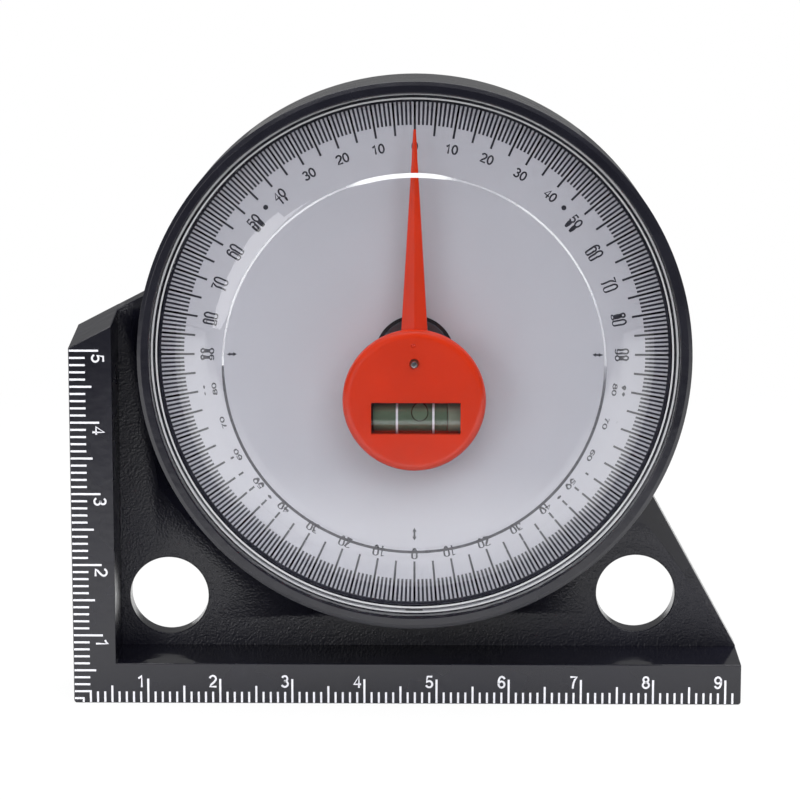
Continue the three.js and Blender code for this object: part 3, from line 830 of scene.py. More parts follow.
class INCLINOMETER_OT_housing(Operator):
    """Add the black housing: ruled edges, web with hanging holes, and drum"""

    bl_idname = "inclinometer.housing"
    bl_label = "Housing"

    def execute(self, context):
        s = context.scene.inclinometer_housing
        length = HOUSING_HIGH.x - HOUSING_LOW.x
        rise = math.tan(s.side_slope)
        front = ruled_plane()
        back = HOUSING_HIGH.y
        web_front = back - s.web_thickness
        left, bottom = HOUSING_LOW.x, HOUSING_LOW.z

        outline = rounded(
            [
                (left, bottom, s.corner_round),
                (left + length, bottom, s.corner_round),
                (left + length, bottom + s.base_height, s.edge_round),
                (left + s.side_width, bottom + s.base_height, s.edge_round),
                (left + s.side_width, bottom + s.side_height + s.side_width * rise, s.edge_round),
                (left, bottom + s.side_height, s.edge_round),
            ]
        )
        edges = extruded("ruled_edges", outline, front, back)
        self.raise_back(edges, s, s.side_rise)
        bevel_edges(edges, lambda a, b: abs(a.y - b.y) < MICRON, s.edge_round)

        slant = math.tan(s.slant_lean)
        inset = s.corner_round
        # Its faces lie just within those of the edges and the drum, so none share a plane
        hidden = 0.02 * MM
        web_height = s.side_height + s.side_rise * (1 - s.web_thickness / s.depth) - hidden
        top = PIVOT.z - bottom
        within = s.drum_radius / 2
        middle = PIVOT.x - left
        web_outline = [
            (left + inset, bottom + inset),
            (left + length - inset, bottom + inset),
            (left + length, bottom + s.base_height),
            (left + length - (top - s.base_height) * slant, PIVOT.z),
            (PIVOT.x, PIVOT.z),
            (PIVOT.x, PIVOT.z + within),
            (left + middle - within, bottom + web_height + (middle - within) * rise),
            (left + inset, bottom + web_height + inset * rise),
        ]
        web = extruded("web", web_outline, web_front, back - hidden)
        self.raise_back(web, s, s.side_height + s.side_rise - web_height - hidden)
        bevel_edges(web, lambda a, b: abs(a.y - b.y) < MICRON, s.edge_round)

        bore = s.drum_radius - s.rim_wall
        dial_back = context.scene.inclinometer_dial.front + context.scene.inclinometer_dial.thickness
        seat = bore - 1.7 * MM
        floor = s.depth - 2 * MM
        post = 4.2 * MM
        drum_profile = rounded(
            [
                (0, dial_back, 0),
                (post, dial_back, 0.3 * MM),
                (post, floor, 0.5 * MM),
                (seat, floor, 0.5 * MM),
                (seat, dial_back, 0),
                (bore, dial_back, 0),
                (bore, -s.rim_proud, 0.2 * MM),
                (s.drum_radius - s.rim_chamfer, -s.rim_proud, 0.12 * MM),
                (s.drum_radius, -s.rim_proud + s.chamfer_depth, 0.12 * MM),
                (s.drum_back, s.depth, 0.4 * MM),
                (0, s.depth, 0),
            ]
        )
        drum = turned("drum", drum_profile, pivot_point(), 192)

        room = turned(
            "room",
            [(0, dial_back), (seat, dial_back), (seat, floor), (0, floor)],
            pivot_point(),
            96,
        )
        combine(web, room, "DIFFERENCE")
        housing = edges
        combine(housing, web, "UNION")
        combine(housing, drum, "UNION")

        for x, z in (
            (s.left_hole_inset, s.left_hole_height),
            (length - s.right_hole_inset, s.right_hole_height),
        ):
            centre = ruled_point(x, 0, z)
            flare = 0.35 * MM
            mouth = s.hole_radius + flare
            web_start = s.depth - s.web_thickness
            cutter = turned(
                "hole",
                [
                    (0, web_start - MM),
                    (mouth + MM, web_start - MM),
                    *rounded(
                        [
                            (mouth + MM, web_start, 0),
                            (s.hole_radius, web_start, flare),
                            (s.hole_radius, s.depth, flare),
                            (mouth + MM, s.depth, 0),
                        ]
                    ),
                    (mouth + MM, s.depth + MM),
                    (0, s.depth + MM),
                ],
                centre,
                96,
            )
            combine(housing, cutter, "DIFFERENCE")

        self.cut_underside(housing, s)
        smooth(housing)
        finish(housing, moulded_black(s), "frame", "housing_black", "housing")
        housing.name = housing.data.name = "housing_moulding"
        return {"FINISHED"}

    def raise_back(self, piece, s, rise):
        """Lifts the back of the sloped top, which the left edge and the web share."""
        above = HOUSING_LOW.z + s.side_height - 0.3 * MM
        select_edges(piece, lambda a, b: min(a.y, b.y) > HOUSING_HIGH.y - 0.1 * MM and min(a.z, b.z) > above)
        bpy.ops.transform.translate(value=(0, 0, rise))
        bpy.ops.mesh.select_mode(type="VERT")
        bpy.ops.object.mode_set(mode="OBJECT")

    def cut_underside(self, housing, s):
        """Cuts the V-groove and the room for both magnet strips."""
        low = HOUSING_LOW
        middle = ruled_plane() + s.depth / 2
        half, deep, over = 3 * MM, 3 * MM, MM
        reach = half * (1 + over / deep)
        groove = draw(
            "groove",
            [
                Vector((low.x - over, middle - reach, low.z - over)),
                Vector((low.x - over, middle + reach, low.z - over)),
                Vector((low.x - over, middle, low.z + deep)),
                Vector((low.x - over, middle - reach, low.z - over)),
            ],
        )
        bpy.ops.mesh.remove_doubles(threshold=0.5 * MICRON)
        bpy.ops.mesh.edge_face_add()
        length = HOUSING_HIGH.x - HOUSING_LOW.x + 2 * over
        bpy.ops.mesh.extrude_region_move(TRANSFORM_OT_translate={"value": (length, 0, 0)})
        close_mesh()
        combine(housing, groove, "DIFFERENCE")
        for node in ("magnet_strip_front", "magnet_strip_rear"):
            lowest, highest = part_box(node)
            gap = 0.1 * MM
            deselect()
            room = highest - lowest + Vector((2 * gap, 2 * gap, gap + over))
            centre = (highest + lowest) / 2 + Vector((0, 0, (gap - over) / 2))
            bpy.ops.mesh.primitive_cube_add(size=1, location=centre, scale=room)
            settle()
            pocket = name_active("pocket")
            combine(housing, pocket, "DIFFERENCE")


class INCLINOMETER_OT_rules(Operator):
    """Add the white print of both rules"""

    bl_idname = "inclinometer.rules"
    bl_label = "Rules"

    def execute(self, context):
        s = context.scene.inclinometer_rules
        thick = 0.02 * MM
        front = ruled_plane()
        half = s.stroke / 2
        left, bottom = HOUSING_LOW.x, HOUSING_LOW.z
        margin = 0.12 * MM
        marks = []

        def line(mm, length, upright):
            along = mm * MM + (s.base_shift if upright else -s.side_shift)
            if upright:
                box = [(left + along, bottom + margin), (left + along, bottom + length)]
                corners = [(box[0][0] - half, box[0][1]), (box[0][0] + half, box[0][1]),
                           (box[1][0] + half, box[1][1]), (box[1][0] - half, box[1][1])]
            else:
                corners = [(left + margin, bottom + along - half), (left + length, bottom + along - half),
                           (left + length, bottom + along + half), (left + margin, bottom + along + half)]
            return slab("line", corners, front, thick)

        # One line of each length, copied along its rule
        for upright, extra, last in ((True, 0.0, 91), (False, s.side_extra, 50)):
            direction = Vector((MM, 0, 0)) if upright else Vector((0, 0, MM))
            for length, wanted in (
                (s.long, [n for n in range(10, last + 1, 10)]),
                (s.middle, [n for n in range(5, last + 1, 10)]),
                (s.short, [n for n in range(3, last + 1) if n % 5]),
            ):
                first = line(wanted[0], length + extra, upright)
                marks.append(first)
                for n in wanted[1:]:
                    twin = copy(first)
                    twin.location = direction * (n - wanted[0])
                    settle()
                    marks.append(twin)

        # Both rules meet in small corners at one and two millimetres
        for corner in (1, 2):
            across = left + corner * MM + s.base_shift
            up = bottom + corner * MM - s.side_shift
            marks.append(
                slab(
                    "corner",
                    [
                        (left + margin, up - half),
                        (across - half, up - half),
                        (across - half, bottom + margin),
                        (across + half, bottom + margin),
                        (across + half, up + half),
                        (left + margin, up + half),
                    ],
                    front,
                    thick,
                )
            )

        for number in range(1, 10):
            figure = print_figure(str(number), s.figure, 2 * thick, 1.3, 1.22)
            place = ruled_point(number * 10 * MM + s.base_shift - MM, 0, 3.15 * MM)
            marks.append(place_print(figure, place))
        for number in range(1, 6):
            figure = print_figure(str(number), s.figure, 2 * thick, 1.3, 1.32)
            place = ruled_point(4.05 * MM, 0, number * 10 * MM - s.side_shift - 1.08 * MM)
            marks.append(place_print(figure, place, math.radians(90)))

        piece = join("rule_marks", marks)
        finish(piece, rule_ink(context.scene.inclinometer_housing), "frame", "dial_white")
        return {"FINISHED"}


class INCLINOMETER_OT_magnets(Operator):
    """Add both magnet strips under the base"""

    bl_idname = "inclinometer.magnets"
    bl_label = "Magnet strips"

    def execute(self, context):
        material = magnet_rubber()
        for node in ("magnet_strip_front", "magnet_strip_rear"):
            lowest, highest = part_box(node)
            deselect()
            bpy.ops.mesh.primitive_cube_add(
                size=1, location=(lowest + highest) / 2, scale=highest - lowest
            )
            settle()
            strip = name_active(node.replace("strip", "bar"))
            bevel_edges(strip, lambda a, b: True, 0.25 * MM)
            smooth(strip)
            finish(strip, material, "frame", "magnet_rubber", node)
        return {"FINISHED"}


class INCLINOMETER_OT_dial(Operator):
    """Add the dial sheet with its print, and the black collar"""

    bl_idname = "inclinometer.dial"
    bl_label = "Dial"

    def execute(self, context):
        s = context.scene.inclinometer_dial
        self.add_sheet(s)
        self.add_marks(s)
        self.add_collar(s)
        return {"FINISHED"}

    def add_sheet(self, s):
        hole = 2.6 * MM
        front, back = s.front, s.front + s.thickness
        profile = [*rounded([(hole, front, 0), (s.radius, front, 0.12 * MM), (s.radius, back, 0), (hole, back, 0)]), (hole, front)]
        sheet = turned("dial_sheet", profile, pivot_point(), 240)
        reach = s.radius - s.notch_tip + MM
        wide = reach * math.tan(s.notch_angle)
        for quarter in range(4):
            turn = Matrix.Rotation(quarter * FULL_TURN / 4, 2)
            corners = [turn @ Vector(p) for p in ((s.notch_tip, 0), (s.notch_tip + reach, -wide), (s.notch_tip + reach, wide))]
            outline = [(PIVOT.x + p.x, PIVOT.z + p.y) for p in corners]
            notch = extruded("notch", outline, ruled_plane() + front - MM, ruled_plane() + back + MM)
            combine(sheet, notch, "DIFFERENCE")
        smooth(sheet)
        finish(sheet, dial_sheet(s), "frame", "dial_white", "dial_plate")

    def add_marks(self, s):
        thick = 0.015 * MM
        face = ruled_plane() + s.front
        half = s.stroke / 2
        marks = []

        def ring(inner, steps):
            """One degree line, spun round the dial as copies."""
            corners = [(PIVOT.x + x, PIVOT.z + z) for x, z in ((-half, inner), (half, inner), (half, s.mark_outer), (-half, s.mark_outer))]
            piece = slab("degree", corners, face, thick)
            only(piece)
            bpy.ops.object.mode_set(mode="EDIT")
            bpy.ops.mesh.select_all(action="SELECT")
            bpy.ops.mesh.spin(steps=steps, dupli=True, angle=FULL_TURN, center=pivot_point(), axis=(0, 1, 0))
            close_mesh()
            return piece

        marks.append(ring(s.mark_inner, 360))
        marks.append(ring(s.mark_long, 72))
        inner, outer = s.mark_outer - 0.05 * MM, s.radius - 0.15 * MM
        low, high = s.front - thick, s.front + thick
        border = [(inner, low), (outer, low), (outer, high), (inner, high), (inner, low)]
        marks.append(turned("border", border, pivot_point(), 180))

        for step in range(36):
            turn = math.radians(step * 10)
            value = step * 10 if step <= 9 else abs(180 - step * 10) if step <= 27 else 360 - step * 10
            figure = print_figure(str(value), s.figure, 2 * thick, 1.5, 1.24)
            place = pivot_point(s.figures * math.sin(turn), s.front, s.figures * math.cos(turn))
            marks.append(place_print(figure, place, turn))

        for step in range(4):
            turn = math.radians(45 + step * 90)
            spot = 0.36 * MM
            middle = Vector((PIVOT.x + s.figures * math.sin(turn), PIVOT.z + s.figures * math.cos(turn)))
            corners = [middle + Vector((spot * math.cos(a), spot * math.sin(a))) for a in (math.radians(45 * k) for k in range(8))]
            marks.append(slab("spot", [tuple(c) for c in corners], face, thick))

        # The tip of each notch shows dark against the degree lines
        reach = s.mark_outer - s.notch_tip + 0.1 * MM
        half_notch = reach * math.tan(s.notch_angle)
        for quarter in range(4):
            turn = Matrix.Rotation(quarter * FULL_TURN / 4, 2)
            corners = [turn @ Vector(p) for p in ((s.notch_tip, 0), (s.notch_tip + reach, -half_notch), (s.notch_tip + reach, half_notch))]
            marks.append(slab("notch_tip", [(PIVOT.x + c.x, PIVOT.z + c.y) for c in corners], face, thick))

        head, thin, wide = 0.55 * MM, 0.13 * MM, 0.3 * MM
        arrow = [
            (0, s.arrow_inner), (wide, s.arrow_inner + head), (thin, s.arrow_inner + head),
            (thin, s.arrow_outer - head), (wide, s.arrow_outer - head), (0, s.arrow_outer),
            (-wide, s.arrow_outer - head), (-thin, s.arrow_outer - head),
            (-thin, s.arrow_inner + head), (-wide, s.arrow_inner + head),
        ]
        for quarter in (1, 2, 3):
            turn = Matrix.Rotation(-quarter * FULL_TURN / 4, 2)
            corners = [turn @ Vector(p) for p in arrow]
            marks.append(slab("arrow", [(PIVOT.x + c.x, PIVOT.z + c.y) for c in corners], face, thick))

        piece = join("dial_marks", marks)
        finish(piece, dial_ink(s), "frame", "collar_black")

    def add_collar(self, s):
        front = s.front - 1.0 * MM
        bore = 0.525 * MM
        end = s.front + s.thickness + 5.9 * MM
        profile = rounded(
            [
                (0, front + 6.65 * MM, 0),
                (bore, front + 6.65 * MM, 0),
                (bore, front, 0),
                (3.2 * MM, front, 0.1 * MM),
                (3.4 * MM, s.front - 0.65 * MM, 0.1 * MM),
                (s.collar_radius - 0.5 * MM, s.front - 0.65 * MM, 0.08 * MM),
                (s.collar_radius - 0.4 * MM, s.front - 0.25 * MM, 0.05 * MM),
                (s.collar_radius, s.front - 0.25 * MM, 0.1 * MM),
                (s.collar_radius, s.front, 0),
                (2.5 * MM, s.front, 0),
                (2.5 * MM, end, 0.3 * MM),
                (0, end, 0),
            ]
        )
        collar = turned("collar", profile, pivot_point(), 96)
        smooth(collar)
        finish(collar, gloss_black(s), "frame", "collar_black", "dial_collar")


class INCLINOMETER_OT_pivot(Operator):
    """Add the steel pin, and finish the washer and the bush"""

    bl_idname = "inclinometer.pivot"
    bl_label = "Pivot"

    def execute(self, context):
        s = context.scene.inclinometer_pointer
        lowest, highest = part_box("pivot_pin")
        tip, end = lowest.y - ruled_plane(), highest.y - ruled_plane()
        profile = rounded(
            [(0, tip, 0), (s.pin_radius, tip, 0.2 * MM), (s.pin_radius, end, 0.1 * MM), (0, end, 0)]
        )
        pin = turned("pin", profile, pivot_point(), 48)
        smooth(pin)
        finish(pin, drawn_steel(s), "frame", "pin_steel", "pivot_pin")
        vial = context.scene.inclinometer_vial
        for node, material in (
            ("spacer_washer", natural_nylon(vial.plug)),
            ("pivot_bush", metal("turned_brass", s.brass, 0.25, 0.4)),
            ("counterweight", metal("sawn_steel", linear("#9A9B9E"), 0.35, 0.5)),
        ):
            cad = frame["nodes"][node]
            cad.data.materials.clear()
            cad.data.materials.append(material)
        return {"FINISHED"}


class INCLINOMETER_OT_pointer(Operator):
    """Add the orange needle and hub, and finish the cap behind it"""

    bl_idname = "inclinometer.pointer"
    bl_label = "Pointer"

    def execute(self, context):
        s = context.scene.inclinometer_pointer
        vial = context.scene.inclinometer_vial
        material = orange_plastic(s)
        hub_centre = pivot_point(0, 0, -s.hub_drop)
        hollow = s.hub_radius - s.hub_wall
        face_inner = s.hub_front + s.hub_face
        cap_front = s.hub_back - 0.6 * MM
        shoulder = s.hub_front + MM
        cap_seat = self.radius_at(s, cap_front) - s.hub_wall
        lip = cap_seat + 0.35 * MM
        shell = rounded(
            [
                (0, s.hub_front, 0),
                (self.radius_at(s, s.hub_front) + 0.04 * MM, s.hub_front, s.hub_round),
                (s.hub_back_radius, s.hub_back, 0.2 * MM),
                (lip, s.hub_back, 0),
                (lip, cap_front, 0),
                (cap_seat, cap_front, 0),
                (hollow, shoulder, 0),
                (hollow, face_inner, 0.2 * MM),
                (0, face_inner, 0),
            ],
            8,
        )
        hub = turned("pointer_hub", shell, hub_centre, 128)

        near = vial.radius + 0.1 * MM
        inner_back = cap_front - 0.1 * MM
        for side in (1, -1):
            deselect()
            low = -vial.drop + side * near
            high = -vial.drop + side * (near + 0.7 * MM)
            bottom, top = min(low, high), max(low, high)
            half = math.sqrt(cap_seat**2 - max(abs(bottom + s.hub_drop), abs(top + s.hub_drop)) ** 2) + 0.3 * MM
            centre = pivot_point(0, (face_inner - 0.2 * MM + inner_back) / 2, (bottom + top) / 2)
            scale = (2 * half, inner_back - face_inner + 0.2 * MM, top - bottom)
            bpy.ops.mesh.primitive_cube_add(size=1, location=centre, scale=scale)
            settle()
            combine(hub, name_active("shelf"), "UNION")
        boss = turned(
            "boss",
            [(0, face_inner - 0.2 * MM), (1.95 * MM, face_inner - 0.2 * MM), (1.95 * MM, inner_back), (0, inner_back)],
            pivot_point(),
            48,
        )
        combine(hub, boss, "UNION")
        combine(hub, self.needle(s), "UNION")
        bush_room = turned(
            "bush_room",
            [(0, face_inner), (1.15 * MM, face_inner), (1.15 * MM, s.hub_back), (0, s.hub_back)],
            pivot_point(),
            48,
        )
        combine(hub, bush_room, "DIFFERENCE")
        flare = 0.12 * MM
        pin_room = turned(
            "pin_room",
            [
                (0, s.hub_front - MM),
                (s.pin_hole + flare + MM, s.hub_front - MM),
                (s.pin_hole, s.hub_front + flare),
                (s.pin_hole, s.hub_back),
                (0, s.hub_back),
            ],
            pivot_point(),
            64,
        )
        combine(hub, pin_room, "DIFFERENCE")
        combine(hub, self.window(s), "DIFFERENCE")
        # The mark that the mould's gate left above the pin
        deselect()
        gate = pivot_point(-0.15 * MM, s.hub_front - 0.1 * MM, 2.45 * MM)
        bpy.ops.mesh.primitive_uv_sphere_add(segments=24, ring_count=12, radius=0.33 * MM, location=gate)
        settle()
        combine(hub, name_active("gate"), "DIFFERENCE")
        smooth(hub, 28)
        finish(hub, material, "pointer", "pointer_orange", "pointer")

        cap = frame["nodes"]["hub_back_cap"]
        cap.data.materials.clear()
        cap.data.materials.append(material)
        return {"FINISHED"}

    def radius_at(self, s, depth):
        """Outside radius of the hub, which narrows from its rounded front edge to its back."""
        shoulder = s.hub_front + MM
        share = (depth - shoulder) / (s.hub_back - shoulder)
        return s.hub_radius + (s.hub_back_radius - s.hub_radius) * share

    def needle(self, s):
        """A ridged needle: a section at the hub, extruded and shrunk to its tip."""
        root = s.hub_radius - s.hub_drop - 0.95 * MM
        half = s.needle_root / 2
        under = s.needle_under
        section = rounded(
            [
                (-half, under, 0.1 * MM),
                (-half, under - s.needle_side, 0.12 * MM),
                (0, under - s.needle_ridge, 0.12 * MM),
                (half, under - s.needle_side, 0.12 * MM),
                (half, under, 0.1 * MM),
            ],
            3,
        )
        points = [pivot_point(x, y, root) for x, y in section]
        needle = draw("needle", [*points, points[0]])
        bpy.ops.mesh.remove_doubles(threshold=0.5 * MICRON)
        bpy.ops.mesh.edge_face_add()
        share = s.needle_tip / s.needle_root
        steps = 6
        pivot = pivot_point(0, under, 0)
        for step in range(steps):
            rise = (s.needle_length - root) / steps
            before = 1 - (1 - share) * step / steps
            after = 1 - (1 - share) * (step + 1) / steps
            bpy.ops.mesh.extrude_region_move(TRANSFORM_OT_translate={"value": (0, 0, rise)})
            bpy.ops.transform.resize(
                value=(after / before, after / before, 1),
                center_override=(pivot.x, pivot.y, PIVOT.z + root + rise * (step + 1)),
            )
        close_mesh()
        return needle

    def window(self, s):
        """Cutter for the window in front of the vial, with rounded corners."""
        left = s.window_shift - s.window_length / 2
        right = s.window_shift + s.window_length / 2
        bottom, top = -s.window_drop - s.window_height / 2, -s.window_drop + s.window_height / 2
        outline = [
            (PIVOT.x + p.x, PIVOT.z + p.y)
            for p in rounded([(left, bottom, 0.12 * MM), (right, bottom, 0.12 * MM), (right, top, 0.12 * MM), (left, top, 0.12 * MM)], 3)
        ]
        plane = ruled_plane()
        return extruded("window", outline, plane + s.hub_front - MM, plane + s.hub_front + s.hub_face + 0.05 * MM)


class INCLINOMETER_OT_vial(Operator):
    """Add the vial: tube, spirit, bubble, white lines and plug"""

    bl_idname = "inclinometer.vial"
    bl_label = "Vial"

    def execute(self, context):
        s = context.scene.inclinometer_vial
        pointer = context.scene.inclinometer_pointer
        depth = pointer.hub_front + pointer.hub_face + 0.05 * MM + s.radius
        centre = pivot_point(0, depth, -s.drop)
        half = s.half_length
        tube_profile = rounded(
            [
                (0, -half, 0),
                (s.radius, -half, 0.5 * MM),
                (s.radius, half, 0.15 * MM),
                (s.bore, half, 0.1 * MM),
                (s.bore, -half + s.end_wall, 0.5 * MM),
                (0, -half + s.end_wall, 0),
            ]
        )
        tube = turned("vial_glass", tube_profile, centre, 64, "X")
        smooth(tube)
        finish(tube, clear_plastic("clear_acrylic_tube", s.glass, 1.49, 0.0, 0.02), "pointer", "clear_plastic", "vial_tube")

        gap = 0.05 * MM
        inner = half - s.plug_length
        radius = s.bore - gap
        liquid = turned(
            "vial_spirit",
            rounded(
                [
                    (0, -half + s.end_wall + gap, 0),
                    (radius, -half + s.end_wall + gap, 0.45 * MM),
                    (radius, inner - gap, 0),
                    (0, inner - gap, 0),
                ]
            ),
            centre,
            64,
            "X",
        )
        deselect()
        spot = centre + Vector((s.bubble_shift, 0, radius - s.bubble + 0.08 * MM))
        bpy.ops.mesh.primitive_uv_sphere_add(segments=48, ring_count=24, radius=s.bubble, location=spot)
        settle()
        combine(liquid, name_active("hollow"), "DIFFERENCE")
        smooth(liquid)
        spirit = green_spirit(s, spot)
        finish(liquid, spirit, "pointer", "vial_green", "vial_liquid")

        lines = []
        for x in (s.line_left, s.line_right):
            start, end = x - s.line_width / 2, x + s.line_width / 2
            inside, outside = s.radius + 0.005 * MM, s.radius + 0.04 * MM
            ring = [(inside, start), (outside, start), (outside, end), (inside, end), (inside, start)]
            lines.append(turned("line", ring, centre, 64, "X"))
        piece = join("vial_lines", lines)
        smooth(piece)
        finish(piece, rule_ink(context.scene.inclinometer_housing), "pointer", "dial_white")

        head = half + gap
        plug = turned(
            "vial_stopper",
            rounded(
                [
                    (0, inner, 0),
                    (radius, inner, 0.25 * MM),
                    (radius, head, 0),
                    (s.radius - 0.15 * MM, head, 0.1 * MM),
                    (s.radius - 0.15 * MM, head + 0.4 * MM, 0.15 * MM),
                    (0, head + 0.4 * MM, 0),
                ]
            ),
            centre,
            48,
            "X",
        )
        smooth(plug)
        finish(plug, natural_nylon(s.plug), "pointer", "nylon", "vial_plug")
        return {"FINISHED"}


class INCLINOMETER_OT_cover(Operator):
    """Add the clear domed cover"""

    bl_idname = "inclinometer.cover"
    bl_label = "Cover"

    def execute(self, context):
        s = context.scene.inclinometer_cover
        dial = context.scene.inclinometer_dial
        inside = s.front + s.wall
        corner = s.front + s.bevel_height
        cone = math.atan2(s.flange_front - corner, s.cone_foot - s.bevel_outer)

        def inner_cone(depth):
            outer = s.cone_foot + (depth - s.flange_front) / math.tan(cone)
            return outer - s.cone_wall / math.sin(cone)

        lowest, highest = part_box("pivot_pin")
        socket = 0.525 * MM
        socket_front = lowest.y - ruled_plane() - 0.1 * MM
        profile = rounded(
            [
                (0, socket_front, 0),
                (socket, socket_front, 0),
                (socket, inside, 0),
                (inner_cone(inside), inside, s.inner_round),
                (inner_cone(dial.front), dial.front, 0.1 * MM),
                (s.flange_radius, dial.front, 0.1 * MM),
                (s.flange_radius, s.flange_front, 0.2 * MM),
                (s.cone_foot, s.flange_front, 0.3 * MM),
                (s.bevel_outer, corner, 3.12 * MM),
                (s.bevel_inner, s.front, 4.38 * MM),
                (0, s.front, 0),
            ],
            16,
        )
        cover = turned("cover", profile, pivot_point(), 256)
        smooth(cover)
        material = clear_plastic("clear_polystyrene", s.tint, 1.49, 0.0, 0.015)
        finish(cover, material, "frame", "clear_plastic", "lens_cover")

        # Painted highlights and painted shade along the step round the flat front, and two fine pale lines round the
        # flange
        rings = []
        for name, inner, outer, depth in (
            ("step", s.bevel_inner - 0.37 * MM, s.bevel_inner + 0.25 * MM, s.front + 0.02 * MM),
            ("outer_line", s.flange_radius - 0.28 * MM, s.flange_radius - 0.02 * MM, s.flange_front - 0.01 * MM),
            ("inner_line", s.cone_foot + 0.17 * MM, s.cone_foot + 0.4 * MM, s.flange_front - 0.01 * MM),
        ):
            back = depth + 0.1 * MM
            ring = [(inner, depth), (outer, depth), (outer, back), (inner, back), (inner, depth)]
            rings.append(turned(name, ring, pivot_point(), 256))
        lines = join("cover_lines", rings)
        smooth(lines)
        finish(lines, moulded_lines(s), "frame", "clear_plastic")
        return {"FINISHED"}


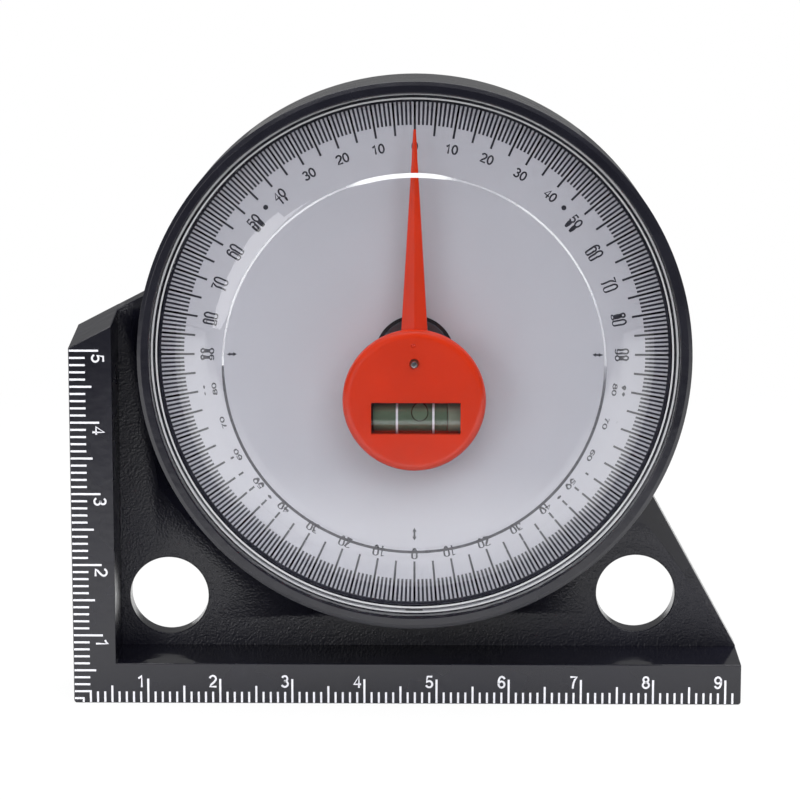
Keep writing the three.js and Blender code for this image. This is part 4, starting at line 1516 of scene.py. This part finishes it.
class INCLINOMETER_OT_stage(Operator):
    """Add the floor, the lamps and the camera"""

    bl_idname = "inclinometer.stage"
    bl_label = "Stage"

    def execute(self, context):
        s = context.scene.inclinometer_stage
        self.add_floor(s)
        self.set_world(context.scene)
        target = Vector((s.target_shift, ruled_plane(), s.target_height))
        for name, azimuth, elevation, distance, width, height, power in (
            ("key", -36, 11, 0.7, 0.32, 0.32, 1.35),
            ("top", 0, 95, 0.85, 1.3, 0.5, 14.0),
            ("fill", 12, 32, 0.9, 0.9, 0.6, 7.2),
        ):
            self.add_lamp(name, target, azimuth, elevation, distance, width, height, power)
        self.add_camera(context.scene, s, target)
        return {"FINISHED"}

    def add_floor(self, s):
        """White paper on a dark table; the camera sees white all round, with a soft shadow."""
        deselect()
        bpy.ops.mesh.primitive_plane_add(size=8, location=(0, 1, -0.02 * MM))
        settle()
        floor = name_active("floor")
        shader = Shader("pale_paper_floor")
        place = shader.add("ShaderNodeSeparateXYZ", {"Vector": shader.millimetres})
        edge = shader.add(
            "ShaderNodeMapRange",
            {"Value": place.outputs["Y"], "From Min": -175, "From Max": -125, "To Min": 0, "To Max": 1},
        )
        tone = shader.add("ShaderNodeMix", {0: edge.outputs["Result"], 6: s.table, 7: s.floor}, data_type="RGBA")
        grain = shader.add(
            "ShaderNodeMix", {0: shader.spread(shader.noise(3, 3), 0, 0.02), 6: tone.outputs[2], 7: (0.5, 0.5, 0.5, 1)}, data_type="RGBA"
        )
        shader.set(Base_Color=grain.outputs[2], Roughness=0.9)
        path = shader.add("ShaderNodeLightPath")
        white = shader.add("ShaderNodeEmission", {"Color": (1, 1, 1, 1), "Strength": 1.0})
        away = shader.add("ShaderNodeVectorMath", {0: shader.millimetres}, operation="LENGTH")
        near = shader.add(
            "ShaderNodeMapRange",
            {"Value": away.outputs["Value"], "From Min": 60, "From Max": 240, "To Min": 0.93, "To Max": 1},
        )
        share = shader.add(
            "ShaderNodeMath", {0: path.outputs["Is Camera Ray"], 1: near.outputs["Result"]}, operation="MULTIPLY"
        )
        mix = shader.add(
            "ShaderNodeMixShader",
            {0: share.outputs[0], 1: shader.shader.outputs[0], 2: white.outputs[0]},
        )
        shader.tree.links.new(mix.outputs[0], shader.tree.nodes["Material Output"].inputs["Surface"])
        floor.data.materials.append(shader.material)

    def set_world(self, scene):
        """A dim room that the camera, also through glass, sees as white."""
        world = bpy.data.worlds.new("studio")
        scene.world = world
        world.use_nodes = True
        tree = world.node_tree
        background = tree.nodes["Background"]
        background.inputs["Color"].default_value = (1, 1, 1, 1)
        room = 0.2
        # Rays that reach the dial through the cover already get the room's light once
        path = tree.nodes.new("ShaderNodeLightPath")
        seen = tree.nodes.new("ShaderNodeMath")
        seen.operation = "MAXIMUM"
        tree.links.new(path.outputs["Is Camera Ray"], seen.inputs[0])
        tree.links.new(path.outputs["Is Transmission Ray"], seen.inputs[1])
        direct = tree.nodes.new("ShaderNodeMath")
        direct.operation = "LESS_THAN"
        bounces = tree.nodes.new("ShaderNodeMath")
        tree.links.new(path.outputs["Diffuse Depth"], bounces.inputs[0])
        tree.links.new(path.outputs["Glossy Depth"], bounces.inputs[1])
        tree.links.new(bounces.outputs[0], direct.inputs[0])
        direct.inputs[1].default_value = 1
        level = tree.nodes.new("ShaderNodeMix")
        tree.links.new(seen.outputs[0], level.inputs["Factor"])
        level.inputs["A"].default_value = room
        tree.links.new(direct.outputs[0], level.inputs["B"])
        tree.links.new(level.outputs["Result"], background.inputs["Strength"])

    def add_lamp(self, name, target, azimuth, elevation, distance, width, height, power):
        """A soft lamp that faces the target, placed by its angles from the front."""
        deselect()
        turn = Euler((math.radians(90 - elevation), 0, math.radians(azimuth)))
        place = target + turn.to_matrix() @ Vector((0, 0, distance))
        bpy.ops.object.light_add(type="AREA", location=place, rotation=turn)
        lamp = name_active(name)
        lamp.data.shape = "RECTANGLE"
        lamp.data.size = width
        lamp.data.size_y = height
        lamp.data.energy = power
        lamp.visible_transmission = False
        # The fill stands for light from all over the room, which mirrors nowhere as one lamp
        lamp.visible_glossy = name != "fill"

    def add_camera(self, scene, s, target):
        deselect()
        turn = Euler((math.radians(90) - s.elevation, 0, s.azimuth))
        place = target + turn.to_matrix() @ Vector((0, 0, s.distance))
        bpy.ops.object.camera_add(location=place, rotation=turn)
        camera = name_active("camera")
        camera.data.lens = s.lens
        camera.data.sensor_width = 36
        camera.data.clip_start = 10 * MM
        scene.camera = camera
        scene.view_settings.view_transform = "Standard"


class INCLINOMETER_PT_panel(Panel):
    """Sidebar list of the inclinometer's operators"""

    bl_idname = "INCLINOMETER_PT_panel"
    bl_label = "Inclinometer"
    bl_space_type = "VIEW_3D"
    bl_region_type = "UI"
    bl_category = "Inclinometer"

    def draw(self, context):
        for operator in OPERATORS:
            self.layout.operator(operator.bl_idname)


SETTINGS = {
    "inclinometer_housing": HousingSettings,
    "inclinometer_rules": RuleSettings,
    "inclinometer_dial": DialSettings,
    "inclinometer_pointer": PointerSettings,
    "inclinometer_vial": VialSettings,
    "inclinometer_cover": CoverSettings,
    "inclinometer_stage": StageSettings,
}
OPERATORS = (
    INCLINOMETER_OT_housing,
    INCLINOMETER_OT_rules,
    INCLINOMETER_OT_magnets,
    INCLINOMETER_OT_dial,
    INCLINOMETER_OT_pivot,
    INCLINOMETER_OT_pointer,
    INCLINOMETER_OT_vial,
    INCLINOMETER_OT_cover,
    INCLINOMETER_OT_stage,
)


def register():
    for group in (*SETTINGS.values(), *OPERATORS, INCLINOMETER_PT_panel):
        bpy.utils.register_class(group)
    for name, group in SETTINGS.items():
        setattr(bpy.types.Scene, name, PointerProperty(type=group))


def unregister():
    for name in SETTINGS:
        delattr(bpy.types.Scene, name)
    for group in reversed((*SETTINGS.values(), *OPERATORS, INCLINOMETER_PT_panel)):
        bpy.utils.unregister_class(group)


def main():
    register()
    for operator in OPERATORS:
        group, name = operator.bl_idname.split(".")
        getattr(getattr(bpy.ops, group), name)()


if __name__ == "__main__":
    main()
